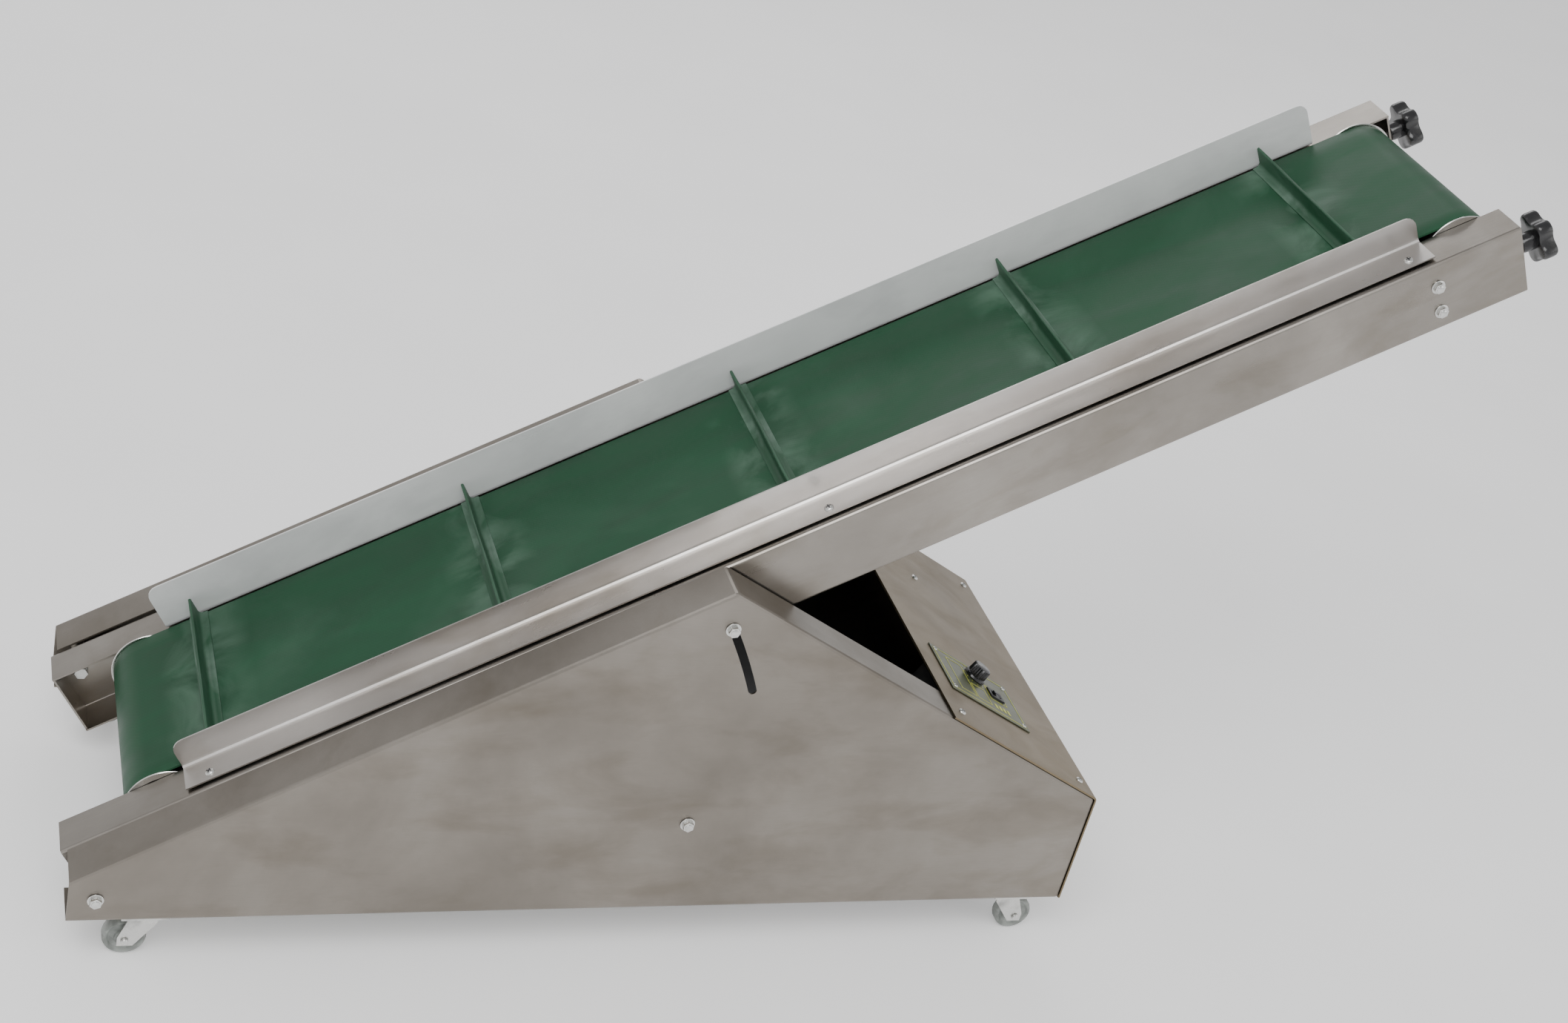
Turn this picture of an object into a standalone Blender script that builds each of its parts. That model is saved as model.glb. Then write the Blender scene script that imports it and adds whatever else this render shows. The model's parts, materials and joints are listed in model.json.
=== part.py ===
"""Cleated take-off belt conveyor: a tilting belt frame on a wedge-shaped wheeled base.

Metres, +Z up. The belt climbs towards +X, Y runs across it, and the floor is z = 0.
Places along the belt frame are given as s (from the rails' low end, up the slope), y (across)
and n (square to the rails' top face, which is n = 0).
"""
import math

import bmesh
import bpy
from mathutils import Matrix, Vector

# ---- driving dimensions -------------------------------------------------------------------
GAP = 0.0003                      # clearance between touching pieces
SHEET = 0.002                     # stainless sheet
BEND = 0.003                      # radius on the outside of a bend

TILT = math.radians(30.5)         # slope of the belt at rest
RAIL_LENGTH = 1.500
RAIL_HALF = 0.152                 # centre line to the outer face of a rail
RAIL_HEIGHT = 0.076
RAIL_FLANGE = 0.042
RAIL_INNER = RAIL_HALF - RAIL_FLANGE

BASE_HALF = 0.200                 # centre line to the outer face of a side panel
BASE_FLANGE = 0.045
BASE_BOTTOM = 0.058
BASE_LENGTH = 1.030
PEAK_X, PEAK_RISE = 0.576, 0.3435      # from the rails' low end
REAR_SLOPE = math.radians(28.85)
FRONT_HEIGHT = 0.048

DATUM = Vector((-0.6766, 0.0, 0.101))   # the rails' top face at their low end
PIVOT_S, PIVOT_N = 0.018, -0.030
SLOT_RADIUS = 0.635               # pivot bolt to slot bolt
SLOT_TRAVEL = math.radians(7.2)

ROLL_N = -0.035                   # height of both roller axes
DRIVE_S, IDLER_S = 0.0945, 1.4545
SHELL_R = 0.0375
RIM_R = 0.0425
SHAFT_R = 0.0075
BELT = 0.0027
BELT_HALF = 0.1075
CLEATS = 10
CLEAT_FIRST = 0.1625
CLEAT_HEIGHT = 0.0235
CLEAT_FOOT = 0.020
CLEAT_BLADE = 0.003

GUARD_START, GUARD_END = 0.127, 1.413
GUARD_FOOT = 0.034
GUARD_HEIGHTS = {"near": 0.034, "far": 0.055}

BOLT_R = 0.004
HOLE_R = BOLT_R + GAP
HEAD_R = 0.0075
SLEEVE_R = 0.008

MOTOR_S, MOTOR_N = 0.360, -0.150
CHAIN_Y = 0.1165
ROLLER_SPROCKET_R, MOTOR_SPROCKET_R = 0.024, 0.016
CHAIN = 0.006

TENSION_Y = 0.131
BLOCK_START, BLOCK_END = IDLER_S - 0.020, IDLER_S + 0.034
SCREW_TIP = IDLER_S + 0.0105      # the blocks slide 8 mm back from here when the belt is slackened
KNOB_R = 0.0265
KNOB_LOBES = 5

SHIELD_PLACE = 0.690              # from the low end to the drive space's front shield
SHIELD_TOP = 0.271
WHEEL_R = 0.0205
CASTER_Y = BASE_HALF - 0.0245
CASTER_TRAIL = 0.016
CASTERS = {"front": (0.078, math.pi), "rear": (0.979, 0.0)}   # place, and heading at rest

SIDES = {"near": -1, "far": 1}
ROUND = 24                        # segments on small round pieces
ALONG_Y = (math.radians(-90), 0, 0)
UPRIGHT = (math.radians(90), 0, 0)     # an XY outline stood up in XZ


# ---- set-up -------------------------------------------------------------------------------
for old in list(bpy.data.objects):
    bpy.data.objects.remove(old, do_unlink=True)

parts = bpy.data.collections.new("belt_conveyor")
cutters = bpy.data.collections.new("cutters")
for collection in (parts, cutters):
    bpy.context.scene.collection.children.link(collection)


def material(name, colour, roughness, metallic):
    made = bpy.data.materials.new(name)
    made.use_nodes = True
    shader = made.node_tree.nodes["Principled BSDF"]
    shader.inputs["Base Color"].default_value = (*colour, 1.0)
    shader.inputs["Roughness"].default_value = roughness
    shader.inputs["Metallic"].default_value = metallic
    made.diffuse_color = (*colour, 1.0)
    return made


STAINLESS = material("stainless", (0.55, 0.52, 0.48), 0.35, 1.0)
STEEL = material("zinc_steel", (0.62, 0.63, 0.62), 0.3, 1.0)
DARK_STEEL = material("dark_steel", (0.10, 0.10, 0.11), 0.5, 0.6)
GREEN_BELT = material("green_belt", (0.012, 0.085, 0.04), 0.5, 0.0)
BLACK_PLASTIC = material("black_plastic", (0.012, 0.012, 0.013), 0.35, 0.0)
GREY_RUBBER = material("grey_rubber", (0.30, 0.31, 0.30), 0.6, 0.0)
PAINTED = material("painted_motor", (0.10, 0.12, 0.14), 0.4, 0.0)
DECAL = material("control_decal", (0.16, 0.22, 0.12), 0.4, 0.0)


def empty(name, location, rotation=(0, 0, 0), parent=None):
    made = bpy.data.objects.new(name, None)
    made.location = location
    made.rotation_euler = rotation
    made.parent = parent
    parts.objects.link(made)
    return made


def add(name, mesh, looks, location=(0, 0, 0), rotation=(0, 0, 0), parent=None, group=parts):
    made = bpy.data.objects.new(name, mesh)
    made.location = location
    made.rotation_euler = rotation
    made.parent = parent
    group.objects.link(made)
    if looks:
        mesh.materials.append(looks)
    return made


def mesh_from(name, build):
    """A mesh made by the bmesh steps in build(bm)."""
    bm = bmesh.new()
    build(bm)
    bmesh.ops.recalc_face_normals(bm, faces=bm.faces)
    mesh = bpy.data.meshes.new(name)
    bm.to_mesh(mesh)
    bm.free()
    return mesh


def smooth(mesh, angle=35):
    mesh.shade_smooth()
    mesh.set_sharp_from_angle(angle=math.radians(angle))


def box_mesh(name, low, high):
    low, high = Vector(low), Vector(high)

    def build(bm):
        bmesh.ops.create_cube(bm, size=1.0)
        bmesh.ops.scale(bm, vec=high - low, verts=bm.verts)
        bmesh.ops.translate(bm, vec=(low + high) / 2, verts=bm.verts)

    return mesh_from(name, build)


def prism_mesh(name, outline, low, high):
    """An outline in XY, raised from low to high."""

    def build(bm):
        face = bm.faces.new([bm.verts.new((x, y, low)) for x, y in outline])
        raised = bmesh.ops.extrude_face_region(bm, geom=[face])["geom"]
        bmesh.ops.translate(bm, vec=(0, 0, high - low),
                            verts=[g for g in raised if isinstance(g, bmesh.types.BMVert)])

    return mesh_from(name, build)


def cylinder_mesh(name, radius, low, high, segments=ROUND):
    """A cylinder along Z from low to high."""

    def build(bm):
        bmesh.ops.create_cone(bm, cap_ends=True, segments=segments, radius1=radius, radius2=radius,
                              depth=high - low)
        bmesh.ops.translate(bm, vec=(0, 0, (low + high) / 2), verts=bm.verts)

    mesh = mesh_from(name, build)
    smooth(mesh)
    return mesh


def turned(name, profile, looks, location, rotation, parent, segments=ROUND, closed=False):
    """A turned piece about its own Z. profile lists (radius, z), top to bottom on the outside."""
    mesh = bpy.data.meshes.new(name)
    count = len(profile)
    edges = [(i, i + 1) for i in range(count - 1)]
    if closed:
        edges.append((count - 1, 0))
    mesh.from_pydata([(r, 0, z) for r, z in profile], edges, [])
    made = add(name, mesh, looks, location, rotation, parent)
    screw = made.modifiers.new("turn", "SCREW")
    screw.steps = screw.render_steps = segments
    screw.use_merge_vertices = True
    screw.merge_threshold = 0.00001
    screw.use_smooth_shade = False
    return made


def rounded(points, radius, steps=3):
    """The open polyline through points, with its inner corners rounded by arcs."""
    path = [Vector(points[0])]
    for before, corner, after in zip(points, points[1:], points[2:]):
        corner = Vector(corner)
        back = (Vector(before) - corner).normalized()
        ahead = (Vector(after) - corner).normalized()
        half = back.angle(ahead) / 2
        reach = radius / math.tan(half)
        centre = corner + (back + ahead).normalized() * radius / math.sin(half)
        first = corner + back * reach - centre
        last = corner + ahead * reach - centre
        for step in range(steps + 1):
            mixed = first.lerp(last, step / steps)
            path.append(centre + mixed.normalized() * radius)
    path.append(Vector(points[-1]))
    return path


def bent_sheet(name, path, start, end, looks, parent=None, location=(0, 0, 0), along="x",
               closed=False, thickness=SHEET, offset=-1):
    """A sheet bent to a path across it, and straight from start to end along it."""

    def draw(bm):
        if along == "x":
            bends = [bm.verts.new((start, y, z)) for y, z in path]
            run = (end - start, 0, 0)
        else:
            bends = [bm.verts.new((x, start, z)) for x, z in path]
            run = (0, end - start, 0)
        pairs = list(zip(bends, bends[1:]))
        if closed:
            pairs.append((bends[-1], bends[0]))
        edges = [bm.edges.new(pair) for pair in pairs]
        drawn = bmesh.ops.extrude_edge_only(bm, edges=edges)["geom"]
        bmesh.ops.translate(bm, vec=run, verts=[g for g in drawn if isinstance(g, bmesh.types.BMVert)])
        bmesh.ops.reverse_faces(bm, faces=bm.faces)

    bm = bmesh.new()
    draw(bm)
    mesh = bpy.data.meshes.new(name)
    bm.to_mesh(mesh)
    bm.free()
    smooth(mesh)
    made = add(name, mesh, looks, location, (0, 0, 0), parent)
    solid = made.modifiers.new("thickness", "SOLIDIFY")
    solid.thickness = thickness
    solid.offset = offset
    solid.use_even_offset = True
    return made


def ring(count, radius, centre=(0, 0), start=0.0, end=2 * math.pi, whole=True):
    """Points on an arc about centre."""
    steps = count if whole else count - 1
    return [(centre[0] + radius * math.cos(start + (end - start) * i / steps),
             centre[1] + radius * math.sin(start + (end - start) * i / steps)) for i in range(count)]


def flat_plate(name, outlines, thickness, looks, location, rotation, parent=None):
    """A flat plate in its own XY plane; outlines after the first are holes."""
    curve = bpy.data.curves.new(name, "CURVE")
    curve.dimensions = "2D"
    curve.fill_mode = "BOTH"
    curve.extrude = thickness / 2
    for outline in outlines:
        spline = curve.splines.new("POLY")
        spline.points.add(len(outline) - 1)
        for point, (x, y) in zip(spline.points, outline):
            point.co = (x, y, 0, 1)
        spline.use_cyclic_u = True
    curve.materials.append(looks)
    made = bpy.data.objects.new(name, curve)
    made.location = location
    made.rotation_euler = rotation
    made.parent = parent
    parts.objects.link(made)
    return made


def join(body, mesh, location=(0, 0, 0), rotation=(0, 0, 0), how="UNION"):
    """Unite body with a tool solid, or cut the tool out of it, in body's own axes."""
    tool = add(body.name + "_tool", mesh, None, location, rotation, body, cutters)
    tool.hide_render = True
    tool.display_type = "WIRE"
    step = body.modifiers.new(how.lower(), "BOOLEAN")
    step.operation = how
    step.solver = "EXACT"
    step.object = tool


def cut(body, mesh, location=(0, 0, 0), rotation=(0, 0, 0)):
    join(body, mesh, location, rotation, "DIFFERENCE")


# ---- datums -------------------------------------------------------------------------------
def on_slope(s, n):
    """World place of a point on the belt frame's middle plane."""
    return DATUM + Vector((s * math.cos(TILT) - n * math.sin(TILT), 0,
                           s * math.sin(TILT) + n * math.cos(TILT)))


PIVOT = on_slope(PIVOT_S, PIVOT_N)
tilt_pivot = empty("tilt_pivot", PIVOT, (0, -TILT, 0))
FRAME = (-PIVOT_S, 0, -PIVOT_N)       # where s = 0, n = 0 lies in the pivot's own axes
PEAK = DATUM + Vector((PEAK_X, 0, PEAK_RISE))
CORNER = Vector((DATUM.x + BASE_LENGTH, 0,
                 PEAK.z - (DATUM.x + BASE_LENGTH - PEAK.x) * math.tan(REAR_SLOPE)))
rear_slope = empty("rear_slope", PEAK, (0, REAR_SLOPE, 0))


def in_frame(s, y, n):
    """A place on the belt frame, in the tilt pivot's own axes."""
    return (s - PIVOT_S, y, n - PIVOT_N)


# ---- base ---------------------------------------------------------------------------------
def side_panel(side):
    """Five-sided panel whose slopes, end and bottom are folded inwards."""
    sign = SIDES[side]
    face = sign * BASE_HALF
    outline = [(DATUM.x + 0.006, BASE_BOTTOM), (DATUM.x + 0.006, BASE_BOTTOM + FRONT_HEIGHT),
               (PEAK.x, PEAK.z), (CORNER.x, CORNER.z), (CORNER.x, BASE_BOTTOM)]

    def build(bm):
        corners = [bm.verts.new((x, face, z)) for x, z in outline]
        bm.faces.new(corners if sign > 0 else list(reversed(corners)))
        folded = [e for e in bm.edges if not all(abs(v.co.x - outline[0][0]) < 1e-6 for v in e.verts)]
        new = bmesh.ops.extrude_edge_only(bm, edges=folded)["geom"]
        moved = [g for g in new if isinstance(g, bmesh.types.BMVert)]
        bmesh.ops.translate(bm, vec=(0, -sign * BASE_FLANGE, 0), verts=moved)

    made = add("side_panel_" + side, mesh_from("side_panel_" + side, build), STAINLESS)
    made.data.shade_smooth()
    bend = made.modifiers.new("bends", "BEVEL")
    bend.width = BEND
    bend.segments = 2
    bend.limit_method = "ANGLE"
    bend.angle_limit = math.radians(20)
    solid = made.modifiers.new("thickness", "SOLIDIFY")
    solid.thickness = SHEET
    solid.offset = -1
    solid.use_even_offset = True
    cut(made, cylinder_mesh("pivot_hole", HOLE_R, -0.01, 0.01), (PIVOT.x, face, PIVOT.z), ALONG_Y)
    cut(made, slot_mesh(), (PIVOT.x, face, PIVOT.z), (math.radians(90), 0, 0))
    return made


def slot_mesh():
    """The tilt slot: an arc about the pivot with round ends, in XY."""
    top = SLOT_ANGLE
    low = top - SLOT_TRAVEL
    outer = ring(9, SLOT_RADIUS + HOLE_R, (0, 0), low, top, False)
    inner = ring(9, SLOT_RADIUS - HOLE_R, (0, 0), top, low, False)
    centres = [(SLOT_RADIUS * math.cos(a), SLOT_RADIUS * math.sin(a)) for a in (top, low)]
    cap_top = ring(9, HOLE_R, centres[0], top, top + math.pi, False)[1:-1]
    cap_low = ring(9, HOLE_R, centres[1], low + math.pi, low + 2 * math.pi, False)[1:-1]
    return prism_mesh("tilt_slot", outer + cap_top + inner + cap_low, -0.01, 0.01)


SLOT_N = -0.033
SLOT_S = PIVOT_S + math.sqrt(SLOT_RADIUS ** 2 - (SLOT_N - PIVOT_N) ** 2)
SLOT_BOLT = on_slope(SLOT_S, SLOT_N)
SLOT_ANGLE = math.atan2(SLOT_BOLT.z - PIVOT.z, SLOT_BOLT.x - PIVOT.x)

COVER_START = 0.298               # from the peak, down the rear slope
PLATE_X, PLATE_Y = 0.387, -0.095  # middle of the control plate, on the rear slope
PLATE_LONG, PLATE_WIDE, PLATE_THICK = 0.121, 0.078, 0.001
KNOB_X, KNOB_Y = 0.388, -0.076
SWITCH_X, SWITCH_Y = 0.412, -0.094
SWITCH_LONG, SWITCH_WIDE = 0.021, 0.015
SPINDLE_R = 0.003
ROCKER_REST = math.radians(7)
COVER_TOP = GAP + SHEET           # height of the cover's face above the panels' folded slope
PLATE_TOP = COVER_TOP + GAP + PLATE_THICK


def rear_cover():
    """One sheet over the rear slope and down the rear end."""
    down = Vector((math.cos(REAR_SLOPE), -math.sin(REAR_SLOPE)))
    square = Vector((math.sin(REAR_SLOPE), math.cos(REAR_SLOPE)))
    peak = Vector((PEAK.x, PEAK.z))
    start = peak + down * COVER_START + square * COVER_TOP
    end_x = CORNER.x + COVER_TOP
    run = (end_x - start.x) / down.x
    fold = start + down * run
    path = rounded([start, fold, (end_x, BASE_BOTTOM)], BEND + SHEET)
    made = bent_sheet("rear_cover", path, -BASE_HALF, BASE_HALF, STAINLESS, along="y", offset=-1)
    at_knob = rear_slope.location + slope_vector(KNOB_X, KNOB_Y, 0)
    cut(made, cylinder_mesh("spindle_hole", SPINDLE_R + 0.001, -0.01, 0.01), at_knob,
        (0, REAR_SLOPE, 0))
    at_switch = rear_slope.location + slope_vector(SWITCH_X, SWITCH_Y, 0)
    cut(made, switch_hole(), at_switch, (0, REAR_SLOPE, 0))
    return made


def slope_vector(x, y, h):
    """A step on the rear slope, turned into the base's axes."""
    return Matrix.Rotation(REAR_SLOPE, 3, "Y") @ Vector((x, y, h))


def switch_hole():
    half = (SWITCH_LONG / 2 - 0.002, SWITCH_WIDE / 2 - 0.002)
    return box_mesh("switch_hole", (-half[0], -half[1], -0.01), (half[0], half[1], 0.01))


def control_plate():
    half = Vector((PLATE_LONG / 2, PLATE_WIDE / 2))
    made = add("control_plate", box_mesh("control_plate", (-half.x, -half.y, 0),
                                         (half.x, half.y, PLATE_THICK)), DECAL,
               (PLATE_X, PLATE_Y, COVER_TOP + GAP), (0, 0, 0), rear_slope)
    cut(made, cylinder_mesh("spindle_hole", SPINDLE_R + 0.001, -0.01, 0.01),
        (KNOB_X - PLATE_X, KNOB_Y - PLATE_Y, 0))
    cut(made, switch_hole(), (SWITCH_X - PLATE_X, SWITCH_Y - PLATE_Y, 0))


def controls():
    """Speed controller under the cover, with its knob and the power switch above."""
    top = -SHEET - GAP
    box = add("speed_controller", box_mesh("speed_controller", (-0.042, -0.040, -0.070),
                                           (0.048, 0.040, -0.020)), BLACK_PLASTIC,
              (KNOB_X, KNOB_Y - 0.012, 0), (0, 0, 0), rear_slope)
    bevel = box.modifiers.new("edges", "BEVEL")
    bevel.width = 0.002
    bevel.segments = 1
    spin = empty("speed_knob_axis", (KNOB_X, KNOB_Y, 0), (0, 0, 0), rear_slope)
    knob_low = PLATE_TOP + 0.001
    turned("speed_knob", [(0, knob_low + 0.014), (0.0085, knob_low + 0.014), (0.0095, knob_low + 0.013),
                          (0.0105, knob_low + 0.003), (0.0130, knob_low), (SPINDLE_R, knob_low),
                          (SPINDLE_R, top - 0.015), (0, top - 0.015)],
           BLACK_PLASTIC, (0, 0, 0), (0, 0, 0), spin, segments=ROUND)
    rim = PLATE_TOP + 0.002
    body = add("switch_body", box_mesh("switch_body", (-SWITCH_LONG / 2, -SWITCH_WIDE / 2, PLATE_TOP + GAP),
                                       (SWITCH_LONG / 2, SWITCH_WIDE / 2, rim)), BLACK_PLASTIC,
               (SWITCH_X, SWITCH_Y, 0), (0, 0, 0), rear_slope)
    half = (SWITCH_LONG / 2 - 0.0025, SWITCH_WIDE / 2 - 0.0025)
    join(body, box_mesh("switch_case", (-half[0], -half[1], -0.0165), (half[0], half[1], PLATE_TOP + 0.001)))
    pocket = (half[0] - 0.0012, half[1] - 0.0012)
    cut(body, box_mesh("switch_pocket", (-pocket[0], -pocket[1], -0.010), (pocket[0], pocket[1], 0.02)))
    tip = empty("rocker_axis", (SWITCH_X, SWITCH_Y, -0.001), (0, ROCKER_REST, 0), rear_slope)
    wide = pocket[1] - GAP * 2
    reach = pocket[0] - 0.0014
    outline = [(-0.0022, -0.006), (0.0022, -0.006), (reach, rim + 0.0025), (reach * 0.5, rim + 0.0012),
               (0, rim + 0.0004), (-reach * 0.5, rim + 0.0012), (-reach, rim + 0.0025)]
    flat_plate("switch_rocker", [outline], wide * 2, BLACK_PLASTIC, (0, 0, 0), (math.radians(90), 0, 0), tip)


def floor_plate():
    """Floor of the drive space, turned up at its low end as a shield across the base."""
    low = BASE_BOTTOM + SHEET + GAP
    fold = DATUM.x + SHIELD_PLACE
    path = rounded([(CORNER.x - 0.004, low), (fold, low), (fold, SHIELD_TOP)], BEND + SHEET)
    bent_sheet("floor_plate", path, -0.195, 0.195, DARK_STEEL, along="y", offset=-1)


def tie_rod():
    """Rod between the side panels, with a bolt head outside each."""
    x, z = DATUM.x + 0.585, DATUM.z + 0.067
    outer = BASE_HALF + GAP
    inner = BASE_HALF - SHEET - GAP
    ends = [(0, outer + 0.0075), (HEAD_R, outer + 0.0075), (HEAD_R, outer + 0.0018), (0.009, outer + 0.0018),
            (0.009, outer), (BOLT_R, outer), (BOLT_R, inner), (SLEEVE_R, inner)]
    profile = ends + [(r, -h) for r, h in reversed(ends)]
    turned("tie_rod", profile, STEEL, (x, 0, z), ALONG_Y, None, segments=12)
    for side, sign in SIDES.items():
        cut(bpy.data.objects["side_panel_" + side], cylinder_mesh("tie_hole", HOLE_R, -0.01, 0.01),
            (x, sign * BASE_HALF, z), ALONG_Y)


def frame_bolt(name, side, location, parent):
    """Bolt from outside a side panel, through a spacer sleeve, to a nut inside the rail."""
    outer = BASE_HALF + GAP
    panel = BASE_HALF - SHEET - GAP
    rail = RAIL_HALF + GAP
    web = RAIL_HALF - SHEET - GAP
    profile = [(0, outer + 0.0075), (HEAD_R, outer + 0.0075), (HEAD_R, outer + 0.0018),
               (0.009, outer + 0.0018), (0.009, outer), (BOLT_R, outer), (BOLT_R, panel),
               (SLEEVE_R, panel), (SLEEVE_R, rail), (BOLT_R, rail), (BOLT_R, web),
               (HEAD_R, web), (HEAD_R, web - 0.0065), (0, web - 0.0065)]
    turn = math.radians(-90 if side == "far" else 90)
    turned(name + "_" + side, profile, STEEL, location, (turn, 0, 0), parent, segments=12)


def caster(end, side):
    """Swivel caster: fixed plate with its race, tapered fork with axle, and wheel."""
    tag = end + "_" + side
    along, heading = CASTERS[end]
    x = DATUM.x + along
    y = SIDES[side] * CASTER_Y
    top = BASE_BOTTOM - GAP
    plate = add("caster_plate_" + tag, box_mesh("caster_plate", (-0.022, -0.022, top - 0.0025),
                                                (0.022, 0.022, top)), STEEL, (x, y, 0))
    join(plate, cylinder_mesh("race", 0.0135, top - 0.0080, top - 0.001))
    swivel = empty("caster_swivel_" + tag, (x, y, 0), (0, 0, heading))
    roof = top - 0.0083
    foot = WHEEL_R - 0.006
    path = rounded([(-0.0115, foot), (-0.0115, roof), (0.0115, roof), (0.0115, foot)], BEND)
    fork = bent_sheet("caster_fork_" + tag, path, -0.013, CASTER_TRAIL + 0.008, STEEL, swivel, offset=1)
    leg = [(-0.0125, roof + 0.001), (-0.0125, roof - 0.007), (CASTER_TRAIL - 0.007, foot - 0.001),
           (CASTER_TRAIL + 0.007, foot - 0.001), (CASTER_TRAIL + 0.007, WHEEL_R + 0.004),
           (0.0125, roof + 0.001)]
    join(fork, prism_mesh("fork_outline", leg, -0.02, 0.02), (0, 0, 0), UPRIGHT, "INTERSECT")
    join(fork, cylinder_mesh("axle", 0.003, -0.0140, 0.0140, 12), (CASTER_TRAIL, 0, WHEEL_R), ALONG_Y)
    axle = empty("caster_axle_" + tag, (CASTER_TRAIL, 0, WHEEL_R), (0, 0, 0), swivel)
    bore = 0.003 + GAP
    half = [(bore, 0.0085), (0.009, 0.0085), (0.010, 0.0070), (WHEEL_R - 0.003, 0.0070), (WHEEL_R, 0.0045)]
    profile = half + [(radius, -across) for radius, across in reversed(half)]
    turned("caster_wheel_" + tag, profile, GREY_RUBBER, (0, 0, 0), ALONG_Y, axle, segments=20, closed=True)


# ---- belt frame ---------------------------------------------------------------------------
def rail(side):
    """C-shaped side rail, open towards the belt, with a plate welded in at each end."""
    sign = SIDES[side]
    path = rounded([(sign * RAIL_INNER, -RAIL_HEIGHT), (sign * RAIL_HALF, -RAIL_HEIGHT),
                    (sign * RAIL_HALF, 0), (sign * RAIL_INNER, 0)], BEND)
    made = bent_sheet("rail_" + side, path, 0, RAIL_LENGTH, STAINLESS, tilt_pivot, FRAME,
                      offset=-sign)
    edge = sign * (RAIL_HALF - 0.001)
    across = sorted((sign * (RAIL_INNER + 0.001), edge))
    for start in (0, RAIL_LENGTH - SHEET):
        join(made, box_mesh("rail_end", (start, across[0], -RAIL_HEIGHT + 0.001),
                            (start + SHEET, across[1], -0.001)))
    cut(made, cylinder_mesh("screw_hole", HOLE_R, -0.01, 0.01, 16), (RAIL_LENGTH, sign * TENSION_Y, ROLL_N),
        (0, math.radians(90), 0))
    for s, n in ((PIVOT_S, PIVOT_N), (SLOT_S, SLOT_N)):
        cut(made, cylinder_mesh("bolt_hole", HOLE_R, -0.01, 0.01), (s, sign * RAIL_HALF, n), ALONG_Y)
    return made


def chain_notch(body):
    """Cut-out in the far rail's lower flange, where the drive chain passes."""
    cut(body, box_mesh("chain_notch", (0.105, RAIL_INNER - 0.005, -RAIL_HEIGHT - 0.005),
                       (0.315, 0.125, -RAIL_HEIGHT + 0.006)))


def guard(side):
    """Side guard: a foot screwed to the rail, and a leg beside the belt with round top corners."""
    sign = SIDES[side]
    height = GUARD_HEIGHTS[side]
    foot = SHEET + GAP
    leg = RAIL_INNER + 0.0005
    path = rounded([(sign * (leg + GUARD_FOOT), foot), (sign * leg, foot), (sign * leg, height)],
                   BEND + SHEET)
    made = bent_sheet("guard_" + side, path, GUARD_START, GUARD_END, STAINLESS, tilt_pivot, FRAME,
                      thickness=0.0015, offset=sign)
    for end, way in ((GUARD_START, 1), (GUARD_END, -1)):
        cut(made, corner_cutter(way), (end, sign * leg, height), (math.radians(90), 0, 0))


def corner_cutter(way, radius=0.012):
    """What a round corner of this radius leaves outside itself, in XY, 20 mm thick."""
    arc = ring(6, radius, (way * radius, -radius), math.pi / 2, math.pi if way > 0 else 0, False)
    outline = [(-way * 0.003, -radius), (-way * 0.003, 0.003), (way * radius, 0.003)] + arc
    return prism_mesh("guard_corner", outline, -0.01, 0.01)


def slider_bed():
    """Folded plate that the belt's top run slides on."""
    top = ROLL_N + SHELL_R - GAP
    half = BELT_HALF + 0.001
    path = rounded([(-half, -0.0205), (-half, top), (half, top), (half, -0.0205)], BEND)
    bent_sheet("slider_bed", path, 0.150, 1.392, STAINLESS, tilt_pivot, FRAME, thickness=0.0015, offset=1)


def cross_tubes():
    for name, s in (("cross_tube_low", 0.300), ("cross_tube_high", 1.300)):
        mesh = cylinder_mesh(name, 0.010, -(RAIL_HALF - SHEET - GAP), RAIL_HALF - SHEET - GAP, 16)
        add(name, mesh, STEEL, in_frame(s, 0, -0.0312), ALONG_Y, tilt_pivot)


def belt_path(radius, low_steps=16):
    """Stadium round both rollers, as (s, n), from the top run's low end."""
    up = ring(low_steps, radius, (IDLER_S, ROLL_N), math.pi / 2, -math.pi / 2, False)
    down = ring(low_steps, radius, (DRIVE_S, ROLL_N), -math.pi / 2, -3 * math.pi / 2, False)
    return up + down


def belt():
    path = belt_path(SHELL_R + GAP + BELT)
    bent_sheet("belt", path, -BELT_HALF, BELT_HALF, GREEN_BELT, tilt_pivot, FRAME, along="y", closed=True,
               thickness=BELT, offset=-1)


def cleat_place(distance):
    """Where a cleat stands after this run from the low roller's top, as (s, n, turn)."""
    radius = SHELL_R + GAP + BELT
    span = IDLER_S - DRIVE_S
    bow = math.pi * radius
    if distance < span:
        return DRIVE_S + distance, ROLL_N + radius, 0.0
    distance -= span
    if distance < bow:
        turn = distance / radius
        return IDLER_S + radius * math.sin(turn), ROLL_N + radius * math.cos(turn), turn
    distance -= bow
    if distance < span:
        return IDLER_S - distance, ROLL_N - radius, math.pi
    turn = math.pi + (distance - span) / radius
    return DRIVE_S + radius * math.sin(turn), ROLL_N + radius * math.cos(turn), turn


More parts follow.
